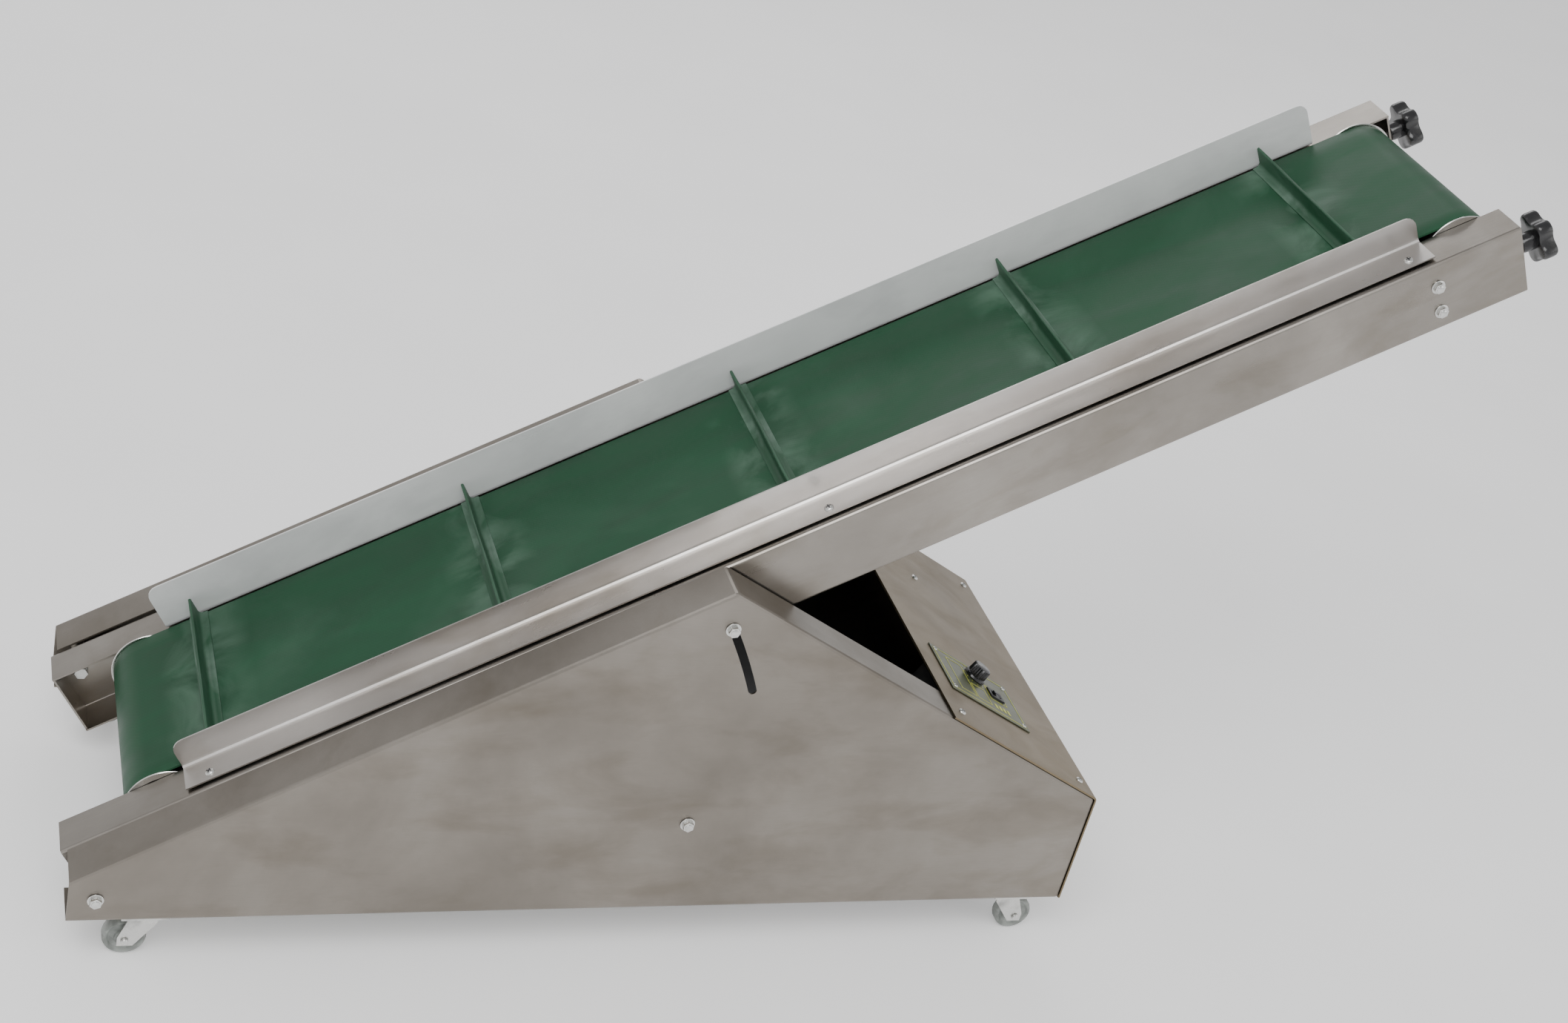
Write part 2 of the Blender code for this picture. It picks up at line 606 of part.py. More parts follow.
def cleats():
    """Flat-footed blades across the belt, evenly spaced round the whole loop."""
    loop = 2 * (IDLER_S - DRIVE_S) + 2 * math.pi * (SHELL_R + GAP + BELT)
    foot, blade = CLEAT_FOOT / 2, CLEAT_BLADE / 2
    outline = [(-foot, 0), (foot, 0), (foot, 0.0015), (blade + 0.003, 0.003), (blade, 0.006),
               (blade, CLEAT_HEIGHT), (-blade, CLEAT_HEIGHT), (-blade, 0.006), (-blade - 0.003, 0.003),
               (-foot, 0.0015)]
    for index in range(CLEATS):
        s, n, turn = cleat_place((CLEAT_FIRST - DRIVE_S + index * loop / CLEATS) % loop)
        seat = empty("cleat_seat_%d" % (index + 1), in_frame(s, 0, n), (0, turn, 0), tilt_pivot)
        flat_plate("cleat_%02d" % (index + 1), [outline], (BELT_HALF - 0.001) * 2, GREEN_BELT, (0, 0, GAP),
                   (math.radians(90), 0, 0), seat)


def roller_profile(half, end, end_radius):
    """Half of a flanged roller's outline, from the shaft's end to the middle."""
    rim_in, rim_out = BELT_HALF + GAP, RAIL_INNER - 0.0006
    return [(0, end), (end_radius, end), (end_radius, rim_out), (RIM_R, rim_out), (RIM_R, rim_in),
            (SHELL_R, rim_in)]


def rollers():
    """Drive roller with its journals, and idler shell turning on a fixed shaft."""
    drive_axis = empty("drive_axis", in_frame(DRIVE_S, 0, ROLL_N), (0, 0, 0), tilt_pivot)
    half = roller_profile(BELT_HALF, 0.1430, SHAFT_R)
    turned("drive_roller", half + [(r, -h) for r, h in reversed(half)], STEEL, (0, 0, 0), ALONG_Y,
           drive_axis, segments=32)
    sprocket = [(SHAFT_R + GAP, 0.004), (0.013, 0.004), (0.013, 0.002), (ROLLER_SPROCKET_R, 0.002),
                (ROLLER_SPROCKET_R, -0.002), (SHAFT_R + GAP, -0.002)]
    turned("roller_sprocket", sprocket, DARK_STEEL, (0, CHAIN_Y, 0), ALONG_Y, drive_axis, closed=True)
    idler_axis = empty("idler_axis", in_frame(IDLER_S, 0, ROLL_N), (0, 0, 0), tilt_pivot)
    bore = SHAFT_R + GAP
    rim_in, rim_out = BELT_HALF + GAP, RAIL_INNER - 0.0006
    shell = [(bore, rim_out), (RIM_R, rim_out), (RIM_R, rim_in), (SHELL_R, rim_in)]
    turned("idler_roller", shell + [(r, -h) for r, h in reversed(shell)], STEEL, (0, 0, 0), ALONG_Y,
           idler_axis, segments=32, closed=True)
    add("idler_shaft", cylinder_mesh("idler_shaft", SHAFT_R, -0.140, 0.140), STEEL, (0, 0, 0), ALONG_Y,
        idler_axis)


def bearing(side):
    """Flange bearing on the rail's web, for the drive roller's journal."""
    sign = SIDES[side]
    bore = SHAFT_R + GAP
    profile = [(bore, 0.0195), (0.030, 0.0195), (0.030, 0.0145), (0.019, 0.0115), (0.019, 0.0),
               (bore, 0.0)]
    turn = math.radians(-90 * sign)
    turned("drive_bearing_" + side, profile, DARK_STEEL, in_frame(DRIVE_S, sign * 0.1300, ROLL_N),
           (turn, 0, 0), tilt_pivot, closed=True)


def tensioner(side):
    """Sliding block, its screw through the rail's end plate, and the star knob on the screw."""
    sign = SIDES[side]
    half = 0.016
    low = min(sign * 0.1200, sign * 0.1490)
    high = max(sign * 0.1200, sign * 0.1490)
    block = add("tension_block_" + side, box_mesh("tension_block", (BLOCK_START, low, ROLL_N - half),
                                                  (BLOCK_END, high, ROLL_N + half)), DARK_STEEL,
                FRAME, (0, 0, 0), tilt_pivot)
    cut(block, cylinder_mesh("shaft_bore", SHAFT_R + GAP, -0.05, 0.05),
        (IDLER_S, sign * 0.1300, ROLL_N), ALONG_Y)
    screw_turn = (0, math.radians(90), 0)
    cut(block, cylinder_mesh("screw_bore", HOLE_R, -0.0250, 0.005, 16),
        (BLOCK_END, sign * TENSION_Y, ROLL_N),
        screw_turn)
    spin = empty("tension_screw_axis_" + side, in_frame(RAIL_LENGTH, sign * TENSION_Y, ROLL_N), screw_turn,
                 tilt_pivot)
    knob_foot = 0.0070
    add("tension_screw_" + side, cylinder_mesh("tension_screw", BOLT_R, SCREW_TIP - RAIL_LENGTH,
                                               knob_foot - GAP, 16), STEEL, (0, 0, 0), (0, 0, 0), spin)
    star_knob(side, spin, knob_foot)


def star_knob(side, spin, foot):
    """Five-lobed knob with a boss, along its own Z."""
    outline = []
    for index in range(KNOB_LOBES * 6):
        angle = 2 * math.pi * index / (KNOB_LOBES * 6)
        radius = KNOB_R * (0.885 + 0.115 * math.cos(KNOB_LOBES * angle))
        outline.append((radius * math.cos(angle), radius * math.sin(angle)))
    flat = flat_plate("star_outline_" + side, [outline], 0.016, BLACK_PLASTIC, (0, 0, 0), (0, 0, 0))
    bpy.context.view_layer.update()
    mesh = bpy.data.meshes.new_from_object(flat.evaluated_get(bpy.context.evaluated_depsgraph_get()))
    bpy.data.objects.remove(flat, do_unlink=True)
    bm = bmesh.new()
    bm.from_mesh(mesh)
    bmesh.ops.remove_doubles(bm, verts=bm.verts, dist=0.00001)
    bmesh.ops.translate(bm, vec=(0, 0, foot + 0.012 + 0.008), verts=bm.verts)
    bm.to_mesh(mesh)
    bm.free()
    made = add("star_knob_" + side, mesh, None, (0, 0, 0), (0, 0, 0), spin)
    bevel = made.modifiers.new("edges", "BEVEL")
    bevel.width = 0.0025
    bevel.segments = 2
    bevel.limit_method = "ANGLE"
    bevel.angle_limit = math.radians(60)
    join(made, cylinder_mesh("boss", 0.0095, foot, foot + 0.015), (0, 0, 0))


def drive():
    """Gearmotor hung from the far rail, its sprocket, and the chain to the drive roller."""
    plate_y = 0.1095
    thick = 0.003
    path = rounded([(plate_y, -0.195), (plate_y, -RAIL_HEIGHT - GAP), (0.148, -RAIL_HEIGHT - GAP)], 0.004)
    bracket = bent_sheet("motor_bracket", path, MOTOR_S - 0.025, MOTOR_S + 0.075, STAINLESS, tilt_pivot,
                         FRAME, thickness=thick, offset=1)
    cut(bracket, cylinder_mesh("output_hole", 0.012, -0.02, 0.02), (MOTOR_S, plate_y, MOTOR_N), ALONG_Y)
    face = plate_y - GAP
    motor = add("gearmotor", box_mesh("gearbox", (-0.022, face - 0.050, -0.038), (0.070, face, 0.038)),
                PAINTED, in_frame(MOTOR_S, 0, MOTOR_N), (0, 0, 0), tilt_pivot)
    join(motor, cylinder_mesh("motor", 0.035, face - 0.160, face - 0.045), (0.026, 0, 0), ALONG_Y)
    axis = empty("motor_sprocket_axis", in_frame(MOTOR_S, CHAIN_Y, MOTOR_N), (0, 0, 0), tilt_pivot)
    boss = face + GAP - CHAIN_Y
    turned("motor_sprocket", [(0, 0.006), (0.010, 0.006), (0.010, 0.002), (MOTOR_SPROCKET_R, 0.002),
                              (MOTOR_SPROCKET_R, -0.002), (0.0085, -0.002), (0.0085, boss), (0, boss)],
           DARK_STEEL, (0, 0, 0), ALONG_Y, axis)
    bent_sheet("drive_chain", chain_path(CHAIN + 0.001), CHAIN_Y - 0.0035, CHAIN_Y + 0.0035, DARK_STEEL,
               tilt_pivot, FRAME, along="y", closed=True, thickness=CHAIN)


def chain_path(out):
    """Outer outline of the chain round both sprockets, as (s, n)."""
    big, small = ROLLER_SPROCKET_R + out, MOTOR_SPROCKET_R + out
    step = Vector((MOTOR_S - DRIVE_S, MOTOR_N - ROLL_N))
    aim = math.atan2(step.y, step.x)
    lean = math.acos((big - small) / step.length)
    near_motor = ring(10, small, (MOTOR_S, MOTOR_N), aim + lean, aim - lean, False)
    near_roller = ring(12, big, (DRIVE_S, ROLL_N), aim - lean, aim + lean - 2 * math.pi, False)
    return near_motor + near_roller


for side_name in SIDES:
    side_panel(side_name)
rear_cover()
control_plate()
controls()
floor_plate()
tie_rod()
for end_name in CASTERS:
    for side_name in SIDES:
        caster(end_name, side_name)
for side_name in SIDES:
    made_rail = rail(side_name)
    if side_name == "far":
        chain_notch(made_rail)
    guard(side_name)
    bearing(side_name)
    tensioner(side_name)
    frame_bolt("pivot_bolt", side_name, PIVOT, None)
    frame_bolt("slot_bolt", side_name, in_frame(SLOT_S, 0, SLOT_N), tilt_pivot)
slider_bed()
cross_tubes()
belt()
cleats()
rollers()
drive()
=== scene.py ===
import json
import math
import random

import bmesh
import bpy
from mathutils import Matrix, Vector


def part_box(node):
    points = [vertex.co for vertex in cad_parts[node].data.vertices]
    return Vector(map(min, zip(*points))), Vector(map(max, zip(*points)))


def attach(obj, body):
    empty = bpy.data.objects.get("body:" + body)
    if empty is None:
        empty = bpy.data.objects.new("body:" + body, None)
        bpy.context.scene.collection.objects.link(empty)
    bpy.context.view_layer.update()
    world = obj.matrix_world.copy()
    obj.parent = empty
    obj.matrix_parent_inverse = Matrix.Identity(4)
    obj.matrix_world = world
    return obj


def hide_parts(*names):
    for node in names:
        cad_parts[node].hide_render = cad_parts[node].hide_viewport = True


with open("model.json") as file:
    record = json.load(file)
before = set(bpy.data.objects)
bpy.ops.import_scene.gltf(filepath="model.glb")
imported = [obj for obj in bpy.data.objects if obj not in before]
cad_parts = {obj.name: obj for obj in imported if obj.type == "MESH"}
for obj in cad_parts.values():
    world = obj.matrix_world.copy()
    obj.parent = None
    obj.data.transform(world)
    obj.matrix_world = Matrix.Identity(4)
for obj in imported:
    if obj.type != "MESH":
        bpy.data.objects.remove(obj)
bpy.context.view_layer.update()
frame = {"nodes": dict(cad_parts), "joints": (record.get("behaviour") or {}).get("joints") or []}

NODES = frame["nodes"]
JOINTS = {joint["name"]: joint for joint in frame["joints"]}
RANDOM = random.Random(7)

# ---- places, from the imported record, the CAD nodes' boxes and given numbers ----------------
ALONG = Vector(JOINTS["tension_slide"]["axis"])
TILT = math.atan2(ALONG.z, ALONG.x)
PIVOT = Vector(JOINTS["frame_tilt"]["pos_m"])
PIVOT_S, PIVOT_N = 0.018, -0.030
REAR_NORMAL = Vector(JOINTS["speed_knob_turn"]["axis"])
REAR_SLOPE = math.atan2(REAR_NORMAL.x, REAR_NORMAL.z)
BELT_FRAME = (Matrix.Translation(PIVOT) @ Matrix.Rotation(-TILT, 4, "Y")
              @ Matrix.Translation((-PIVOT_S, 0, -PIVOT_N)))
TO_BELT_FRAME = BELT_FRAME.inverted()
DRIVE = TO_BELT_FRAME @ Vector(JOINTS["drive_roller_spin"]["pos_m"])
IDLER = TO_BELT_FRAME @ Vector(JOINTS["idler_spin"]["pos_m"])
MOTOR = TO_BELT_FRAME @ Vector(JOINTS["motor_sprocket_spin"]["pos_m"])
KNOB_SPOT = Vector(JOINTS["speed_knob_turn"]["pos_m"])
COVER = Matrix.Translation(KNOB_SPOT) @ Matrix.Rotation(REAR_SLOPE, 4, "Y")
ALONG_Y = Matrix.Rotation(math.radians(-90), 4, "X")
TURNED_OUT = {"near": Matrix.Rotation(math.radians(90), 4, "X"),
              "far": Matrix.Rotation(math.radians(-90), 4, "X")}
SIDES = {"near": -1, "far": 1}
RAIL_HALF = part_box("rail_far")[1][1]
BASE_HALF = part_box("side_panel_far")[1][1]
BELT_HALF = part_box("belt")[1][1]
RIM_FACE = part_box("idler_roller")[1][1]
SHELL_R, RIM_R, SHAFT_R = 0.0375, 0.0425, 0.0075
BELT = 0.0027
BELT_OUT = SHELL_R + 0.0003 + BELT
CLEATS = 10
CLEAT_FIRST = 0.1625
CLEAT_HEIGHT = 0.0235
BIG_SPROCKET_R, SMALL_SPROCKET_R = 0.024, 0.016
CHAIN_PITCH = 0.00635
GUARD_SCREWS, GUARD_SCREW_Y = (0.152, 0.782, 1.390), 0.1345
BLOCK_BOLT_S, BLOCK_BOLT_N = 1.4085, (-0.0264, -0.0558)
KNOB_DOWN_SLOPE = 0.388
COVER_SCREWS = ((0.318, -0.179), (0.318, 0.179), (0.384, 0.107), (0.503, -0.179), (0.503, 0.179))
PLATE_SCREWS = ((0.333, -0.127), (0.333, -0.063), (0.441, -0.127), (0.441, -0.063))


# ---- mesh helpers --------------------------------------------------------------------------
def finish_mesh(name, bm, angle=35):
    bmesh.ops.recalc_face_normals(bm, faces=bm.faces)
    mesh = bpy.data.meshes.new(name)
    bm.to_mesh(mesh)
    bm.free()
    mesh.shade_smooth()
    mesh.set_sharp_from_angle(angle=math.radians(angle))
    return mesh


def piece(name, mesh, looks, body, place=None, replaces=()):
    """A visible piece in its place, riding on a CAD body."""
    made = bpy.data.objects.new(name, mesh)
    bpy.context.scene.collection.objects.link(made)
    made.matrix_world = place if place is not None else Matrix.Identity(4)
    made.data.materials.clear()
    made.data.materials.append(looks)
    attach(made, body)
    if replaces:
        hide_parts(*replaces)
    return made


def soften(made, width, segments=2, angle=40):
    bevel = made.modifiers.new("soft_edges", "BEVEL")
    bevel.width = width
    bevel.segments = segments
    bevel.limit_method = "ANGLE"
    bevel.angle_limit = math.radians(angle)
    bevel.harden_normals = False
    return made


def lathe(name, profile, segments=64, closed=False):
    """A turned mesh about Z from (radius, z) points."""
    bm = bmesh.new()
    ring = [bm.verts.new((radius, 0, height)) for radius, height in profile]
    edges = [bm.edges.new(pair) for pair in zip(ring, ring[1:])]
    if closed:
        edges.append(bm.edges.new((ring[-1], ring[0])))
    bmesh.ops.spin(bm, geom=ring + edges, cent=(0, 0, 0), axis=(0, 0, 1), angle=2 * math.pi,
                   steps=segments, use_merge=True)
    bmesh.ops.remove_doubles(bm, verts=bm.verts, dist=0.000002)
    return finish_mesh(name, bm)


def prism(name, outline, low, high):
    """An outline in XY raised from low to high."""
    bm = bmesh.new()
    face = bm.faces.new([bm.verts.new((x, y, low)) for x, y in outline])
    raised = bmesh.ops.extrude_face_region(bm, geom=[face])["geom"]
    lifted = [g for g in raised if isinstance(g, bmesh.types.BMVert)]
    bmesh.ops.translate(bm, vec=(0, 0, high - low), verts=lifted)
    return finish_mesh(name, bm)


def block(name, low, high):
    bm = bmesh.new()
    bmesh.ops.create_cube(bm, size=1.0)
    low, high = Vector(low), Vector(high)
    bmesh.ops.scale(bm, vec=high - low, verts=bm.verts)
    bmesh.ops.translate(bm, vec=(low + high) / 2, verts=bm.verts)
    return finish_mesh(name, bm)


def merged(name, meshes):
    """One mesh from (mesh, matrix) pairs."""
    bm = bmesh.new()
    for mesh, matrix in meshes:
        start = len(bm.verts)
        bm.from_mesh(mesh)
        bm.verts.ensure_lookup_table()
        bmesh.ops.transform(bm, matrix=matrix, verts=bm.verts[start:])
    return finish_mesh(name, bm)


def polygon(sides, radius, start=0.0):
    return [(radius * math.cos(start + 2 * math.pi * i / sides),
             radius * math.sin(start + 2 * math.pi * i / sides)) for i in range(sides)]


def arc(centre, radius, start, end, steps):
    return [(centre[0] + radius * math.cos(start + (end - start) * i / steps),
             centre[1] + radius * math.sin(start + (end - start) * i / steps)) for i in range(steps + 1)]


# ---- material helpers ----------------------------------------------------------------------
class Nodes:
    """Short calls for the nodes of one material."""

    def __init__(self, name):
        self.material = bpy.data.materials.new(name)
        self.material.use_nodes = True
        self.tree = self.material.node_tree
        self.shader = self.tree.nodes["Principled BSDF"]
        self.coords = self.add("ShaderNodeTexCoord").outputs["Object"]

    def add(self, kind, **settings):
        node = self.tree.nodes.new(kind)
        for key, value in settings.items():
            setattr(node, key, value)
        return node

    def link(self, source, target):
        self.tree.links.new(source, target)

    def mapped(self, source, scale=(1, 1, 1), turn=(0, 0, 0), shift=(0, 0, 0)):
        node = self.add("ShaderNodeMapping")
        node.inputs["Location"].default_value = shift
        node.inputs["Rotation"].default_value = turn
        node.inputs["Scale"].default_value = scale
        self.link(source, node.inputs["Vector"])
        return node.outputs["Vector"]

    def noise(self, source, scale, detail=4.0, roughness=0.55, distortion=0.0):
        node = self.add("ShaderNodeTexNoise")
        node.inputs["Scale"].default_value = scale
        node.inputs["Detail"].default_value = detail
        node.inputs["Roughness"].default_value = roughness
        node.inputs["Distortion"].default_value = distortion
        self.link(source, node.inputs["Vector"])
        return node.outputs["Fac"]

    def ramp(self, source, stops):
        node = self.add("ShaderNodeValToRGB")
        ramp = node.color_ramp
        while len(ramp.elements) < len(stops):
            ramp.elements.new(0.5)
        for element, (place, colour) in zip(ramp.elements, stops):
            element.position = place
            element.color = (*colour, 1.0) if isinstance(colour, tuple) else (colour, colour, colour, 1.0)
        self.link(source, node.inputs["Fac"])
        return node.outputs["Color"]

    def math(self, operation, first, second=None, third=None):
        node = self.add("ShaderNodeMath", operation=operation)
        for socket, value in zip(node.inputs, (first, second, third)):
            if value is None:
                continue
            if isinstance(value, (int, float)):
                socket.default_value = value
            else:
                self.link(value, socket)
        return node.outputs[0]

    def mix(self, factor, first, second, blend="MIX"):
        node = self.add("ShaderNodeMix", data_type="RGBA", blend_type=blend)
        for socket, value in ((node.inputs["Factor"], factor), (node.inputs["A"], first),
                              (node.inputs["B"], second)):
            if isinstance(value, tuple):
                socket.default_value = (*value, 1.0)
            elif isinstance(value, (int, float)):
                socket.default_value = value
            else:
                self.link(value, socket)
        return node.outputs["Result"]

    def spread(self, source, low, high):
        """Maps 0-1 noise to a range."""
        node = self.add("ShaderNodeMapRange")
        node.inputs["From Min"].default_value = 0.3
        node.inputs["From Max"].default_value = 0.7
        node.inputs["To Min"].default_value = low
        node.inputs["To Max"].default_value = high
        self.link(source, node.inputs["Value"])
        return node.outputs["Result"]

    def bump(self, source, strength, distance):
        node = self.add("ShaderNodeBump")
        node.inputs["Strength"].default_value = strength
        node.inputs["Distance"].default_value = distance
        self.link(source, node.inputs["Height"])
        self.link(node.outputs["Normal"], self.shader.inputs["Normal"])
        return node

    def set(self, **values):
        for name, value in values.items():
            socket = self.shader.inputs[name.replace("_", " ")]
            if isinstance(value, tuple):
                socket.default_value = (*value, 1.0)
            elif isinstance(value, (int, float)):
                socket.default_value = value
            else:
                self.link(value, socket)


def stainless(name, dark, light, turn=0.0, rough=(0.30, 0.46), metal=1.0, cloud=2.6,
              stain=(0.5, 0.44, 0.34)):
    """Stainless sheet: brushed along its length, cloudy, with wiped smudges and brownish stains."""
    n = Nodes(name)
    local = n.mapped(n.coords, turn=(0, turn, 0))
    clouds = n.noise(local, cloud, detail=6.0, roughness=0.6, distortion=0.2)
    upright = n.mapped(local, scale=(1.0, 1.0, 2.4), shift=(3.1, 0.7, 1.9))
    patches = n.noise(upright, 9.0, detail=5.0, distortion=0.4)
    grain = n.noise(n.mapped(local, scale=(0.05, 1.0, 1.0)), 900.0, detail=2.0)
    lengthwise = n.mapped(local, scale=(0.3, 1.0, 1.0), shift=(1.7, 4.2, 0.3))
    smear = n.noise(lengthwise, 26.0, detail=5.0, distortion=0.8)
    base = n.mix(n.ramp(clouds, [(0.33, 0.0), (0.68, 1.0)]), dark, light)
    stained = n.math("MULTIPLY", n.ramp(patches, [(0.48, 0.0), (0.70, 1.0)]), 0.35)
    tinted = n.mix(stained, base, stain, "MULTIPLY")
    brushed = n.mix(n.spread(grain, 0.0, 0.16), tinted, dark, "MIX")
    n.set(Base_Color=brushed, Metallic=metal)
    wiped = n.math("ADD", n.math("MULTIPLY", smear, 0.6), n.math("MULTIPLY", clouds, 0.4))
    n.set(Roughness=n.spread(wiped, rough[0], rough[1]))
    n.bump(grain, 0.12, 0.0004)
    return n.material


def zinc(name, tone=(0.62, 0.62, 0.60)):
    """Bright plated steel with a faint crystal mottle and dulled spots."""
    n = Nodes(name)
    crystal = n.noise(n.coords, 160.0, detail=3.0)
    grime = n.noise(n.mapped(n.coords, shift=(2.0, 1.0, 0.0)), 38.0, detail=5.0)
    dull = tuple(0.45 * value for value in tone)
    base = n.mix(n.ramp(grime, [(0.52, 0.0), (0.75, 1.0)]), tone, dull)
    n.set(Base_Color=n.mix(n.spread(crystal, 0.0, 0.25), base, (0.8, 0.8, 0.78)), Metallic=1.0)
    n.set(Roughness=n.spread(grime, 0.16, 0.42))
    n.bump(crystal, 0.08, 0.0003)
    return n.material


def dark_metal(name, tone=(0.055, 0.055, 0.06)):
    """Dark oiled steel, worn lighter in places."""
    n = Nodes(name)
    oil = n.noise(n.coords, 30.0, detail=6.0, distortion=0.4)
    worn = n.noise(n.mapped(n.coords, shift=(5.0, 0.0, 2.0)), 90.0, detail=4.0)
    rubbed = n.ramp(worn, [(0.56, 0.0), (0.78, 1.0)])
    n.set(Base_Color=n.mix(rubbed, tone, (0.20, 0.19, 0.18)), Metallic=0.75)
    n.set(Roughness=n.spread(oil, 0.28, 0.55))
    n.bump(worn, 0.15, 0.0004)
    return n.material


def dark_sheet_painted_shade(name):
    """Dark sheet inside the base: its dark tone is painted shade of the shadowed interior, with lighter dust
    patches.
    """
    n = Nodes(name)
    dust = n.noise(n.mapped(n.coords, scale=(1, 1, 0.6)), 7.0, detail=6.0, distortion=0.6)
    fine = n.noise(n.coords, 420.0, detail=2.0)
    dusty = n.ramp(dust, [(0.35, 0.0), (0.75, 1.0)])
    # The dark base tone is painted shade; the lighter mix is dust.
    n.set(Base_Color=n.mix(dusty, (0.085, 0.086, 0.095), (0.14, 0.14, 0.15)))
    n.set(Roughness=n.spread(dust, 0.42, 0.62), Metallic=0.2)
    n.bump(fine, 0.1, 0.0003)
    return n.material


def belt_green(name, pitch, first, middle, dust=0.55):
    """Green belt cover: fine weave, rubbed lanes, and pale dust gathered beside the cleats."""
    n = Nodes(name)
    parts = n.add("ShaderNodeSeparateXYZ")
    n.link(n.coords, parts.inputs["Vector"])
    s, y, height = parts.outputs
    weave_a = n.math("SINE", n.math("MULTIPLY", s, 2600.0))
    weave_b = n.math("SINE", n.math("MULTIPLY", y, 2600.0))
    weave = n.math("MULTIPLY", weave_a, weave_b)
    stretched = n.mapped(n.coords, scale=(0.35, 1.0, 0.35))
    rub = n.noise(stretched, 22.0, detail=7.0, roughness=0.62, distortion=0.6)
    blotch = n.noise(n.coords, 6.5, detail=4.0, distortion=0.5)
    phase = n.math("FRACT", n.math("ADD", n.math("DIVIDE", n.math("SUBTRACT", s, first), pitch), 40.5))
    off_middle = n.math("ABSOLUTE", n.math("SUBTRACT", phase, 0.5))
    beside = n.math("SUBTRACT", 1.0, n.math("MULTIPLY", off_middle, 6.0))
    beside = n.math("MAXIMUM", beside, 0.0)
    on_top = n.math("GREATER_THAN", height, middle)
    fog = n.noise(n.mapped(n.coords, shift=(0.4, 2.0, 0.0)), 11.0, detail=6.0, distortion=0.9)
    cloud = n.ramp(fog, [(0.44, 0.0), (0.66, 1.0)])
    dusty = n.math("MULTIPLY", n.math("MULTIPLY", beside, on_top), n.math("MULTIPLY", cloud, dust))
    general = n.math("MULTIPLY", n.ramp(blotch, [(0.52, 0.0), (0.80, 1.0)]), 0.10)
    base = n.mix(n.ramp(rub, [(0.34, 0.0), (0.72, 1.0)]), (0.0060, 0.047, 0.019), (0.011, 0.068, 0.029))
    base = n.mix(n.math("ADD", general, dusty), base, (0.16, 0.27, 0.20))
    n.set(Base_Color=base)
    n.set(Roughness=n.spread(rub, 0.40, 0.60), Specular_IOR_Level=0.28)
    n.bump(n.math("ADD", n.math("MULTIPLY", weave, 0.3), n.math("MULTIPLY", rub, 1.2)), 0.16, 0.0004)
    return n.material


def cleat_green(name):
    """Cleat: the belt's green, chalky along its base and scuffed on its edge."""
    n = Nodes(name)
    parts = n.add("ShaderNodeSeparateXYZ")
    n.link(n.coords, parts.inputs["Vector"])
    height = parts.outputs["Z"]
    scuff = n.noise(n.mapped(n.coords, scale=(1, 0.25, 1)), 70.0, detail=6.0)
    stretched = n.mapped(n.coords, scale=(1, 0.5, 1), shift=(0, 3.0, 0))
    chalk = n.noise(stretched, 26.0, detail=5.0, distortion=0.8)
    low = n.math("SUBTRACT", 1.0, n.math("MULTIPLY", height, 140.0))
    low = n.math("MAXIMUM", low, 0.0)
    near_foot = n.math("ADD", 0.10, n.math("MULTIPLY", low, 0.5))
    mask = n.math("MULTIPLY", n.ramp(chalk, [(0.42, 0.0), (0.68, 1.0)]), near_foot)
    base = n.mix(n.ramp(scuff, [(0.35, 0.0), (0.75, 1.0)]), (0.0075, 0.050, 0.021), (0.018, 0.082, 0.038))
    n.set(Base_Color=n.mix(mask, base, (0.20, 0.30, 0.24)))
    n.set(Roughness=n.spread(scuff, 0.42, 0.66), Specular_IOR_Level=0.40)
    n.bump(scuff, 0.2, 0.0005)
    return n.material


def black_plastic(name, rough=(0.12, 0.30)):
    """Glossy black moulding with faint dust and handling marks."""
    n = Nodes(name)
    dust = n.noise(n.coords, 55.0, detail=6.0, distortion=0.5)
    fine = n.noise(n.coords, 700.0, detail=2.0)
    dusty = n.ramp(dust, [(0.50, 0.0), (0.85, 1.0)])
    n.set(Base_Color=n.mix(dusty, (0.010, 0.010, 0.011), (0.045, 0.045, 0.043)))
    n.set(Roughness=n.spread(dust, rough[0], rough[1]), Specular_IOR_Level=0.6)
    n.bump(fine, 0.06, 0.0002)
    return n.material


def wheel_rubber(name, tone=(0.30, 0.32, 0.30)):
    """Grey moulded tread, soiled where it rolls."""
    n = Nodes(name)
    soil = n.noise(n.coords, 60.0, detail=6.0, distortion=0.7)
    dark = tuple(0.35 * value for value in tone)
    n.set(Base_Color=n.mix(n.ramp(soil, [(0.40, 0.0), (0.74, 1.0)]), tone, dark))
    n.set(Roughness=n.spread(soil, 0.42, 0.70))
    n.bump(soil, 0.25, 0.0006)
    return n.material


def motor_paint(name):
    """Hammered machine enamel with dust."""
    n = Nodes(name)
    hammer = n.noise(n.coords, 240.0, detail=2.0)
    dust = n.noise(n.coords, 20.0, detail=6.0)
    dusty = n.ramp(dust, [(0.45, 0.0), (0.80, 1.0)])
    n.set(Base_Color=n.mix(dusty, (0.035, 0.055, 0.075), (0.12, 0.13, 0.13)))
    n.set(Roughness=n.spread(dust, 0.28, 0.52), Specular_IOR_Level=0.5)
    n.bump(hammer, 0.35, 0.0006)
    return n.material


def foil(name, dark, light, rough):
    """Printed foil with scratches and finger marks."""
    n = Nodes(name)
    rubbed = n.noise(n.mapped(n.coords, scale=(1, 3, 1)), 48.0, detail=6.0, distortion=0.8)
    fine = n.noise(n.coords, 600.0, detail=2.0)
    n.set(Base_Color=n.mix(n.ramp(rubbed, [(0.38, 0.0), (0.72, 1.0)]), dark, light))
    n.set(Roughness=n.spread(rubbed, rough[0], rough[1]))
    n.bump(fine, 0.08, 0.0002)
    return n.material


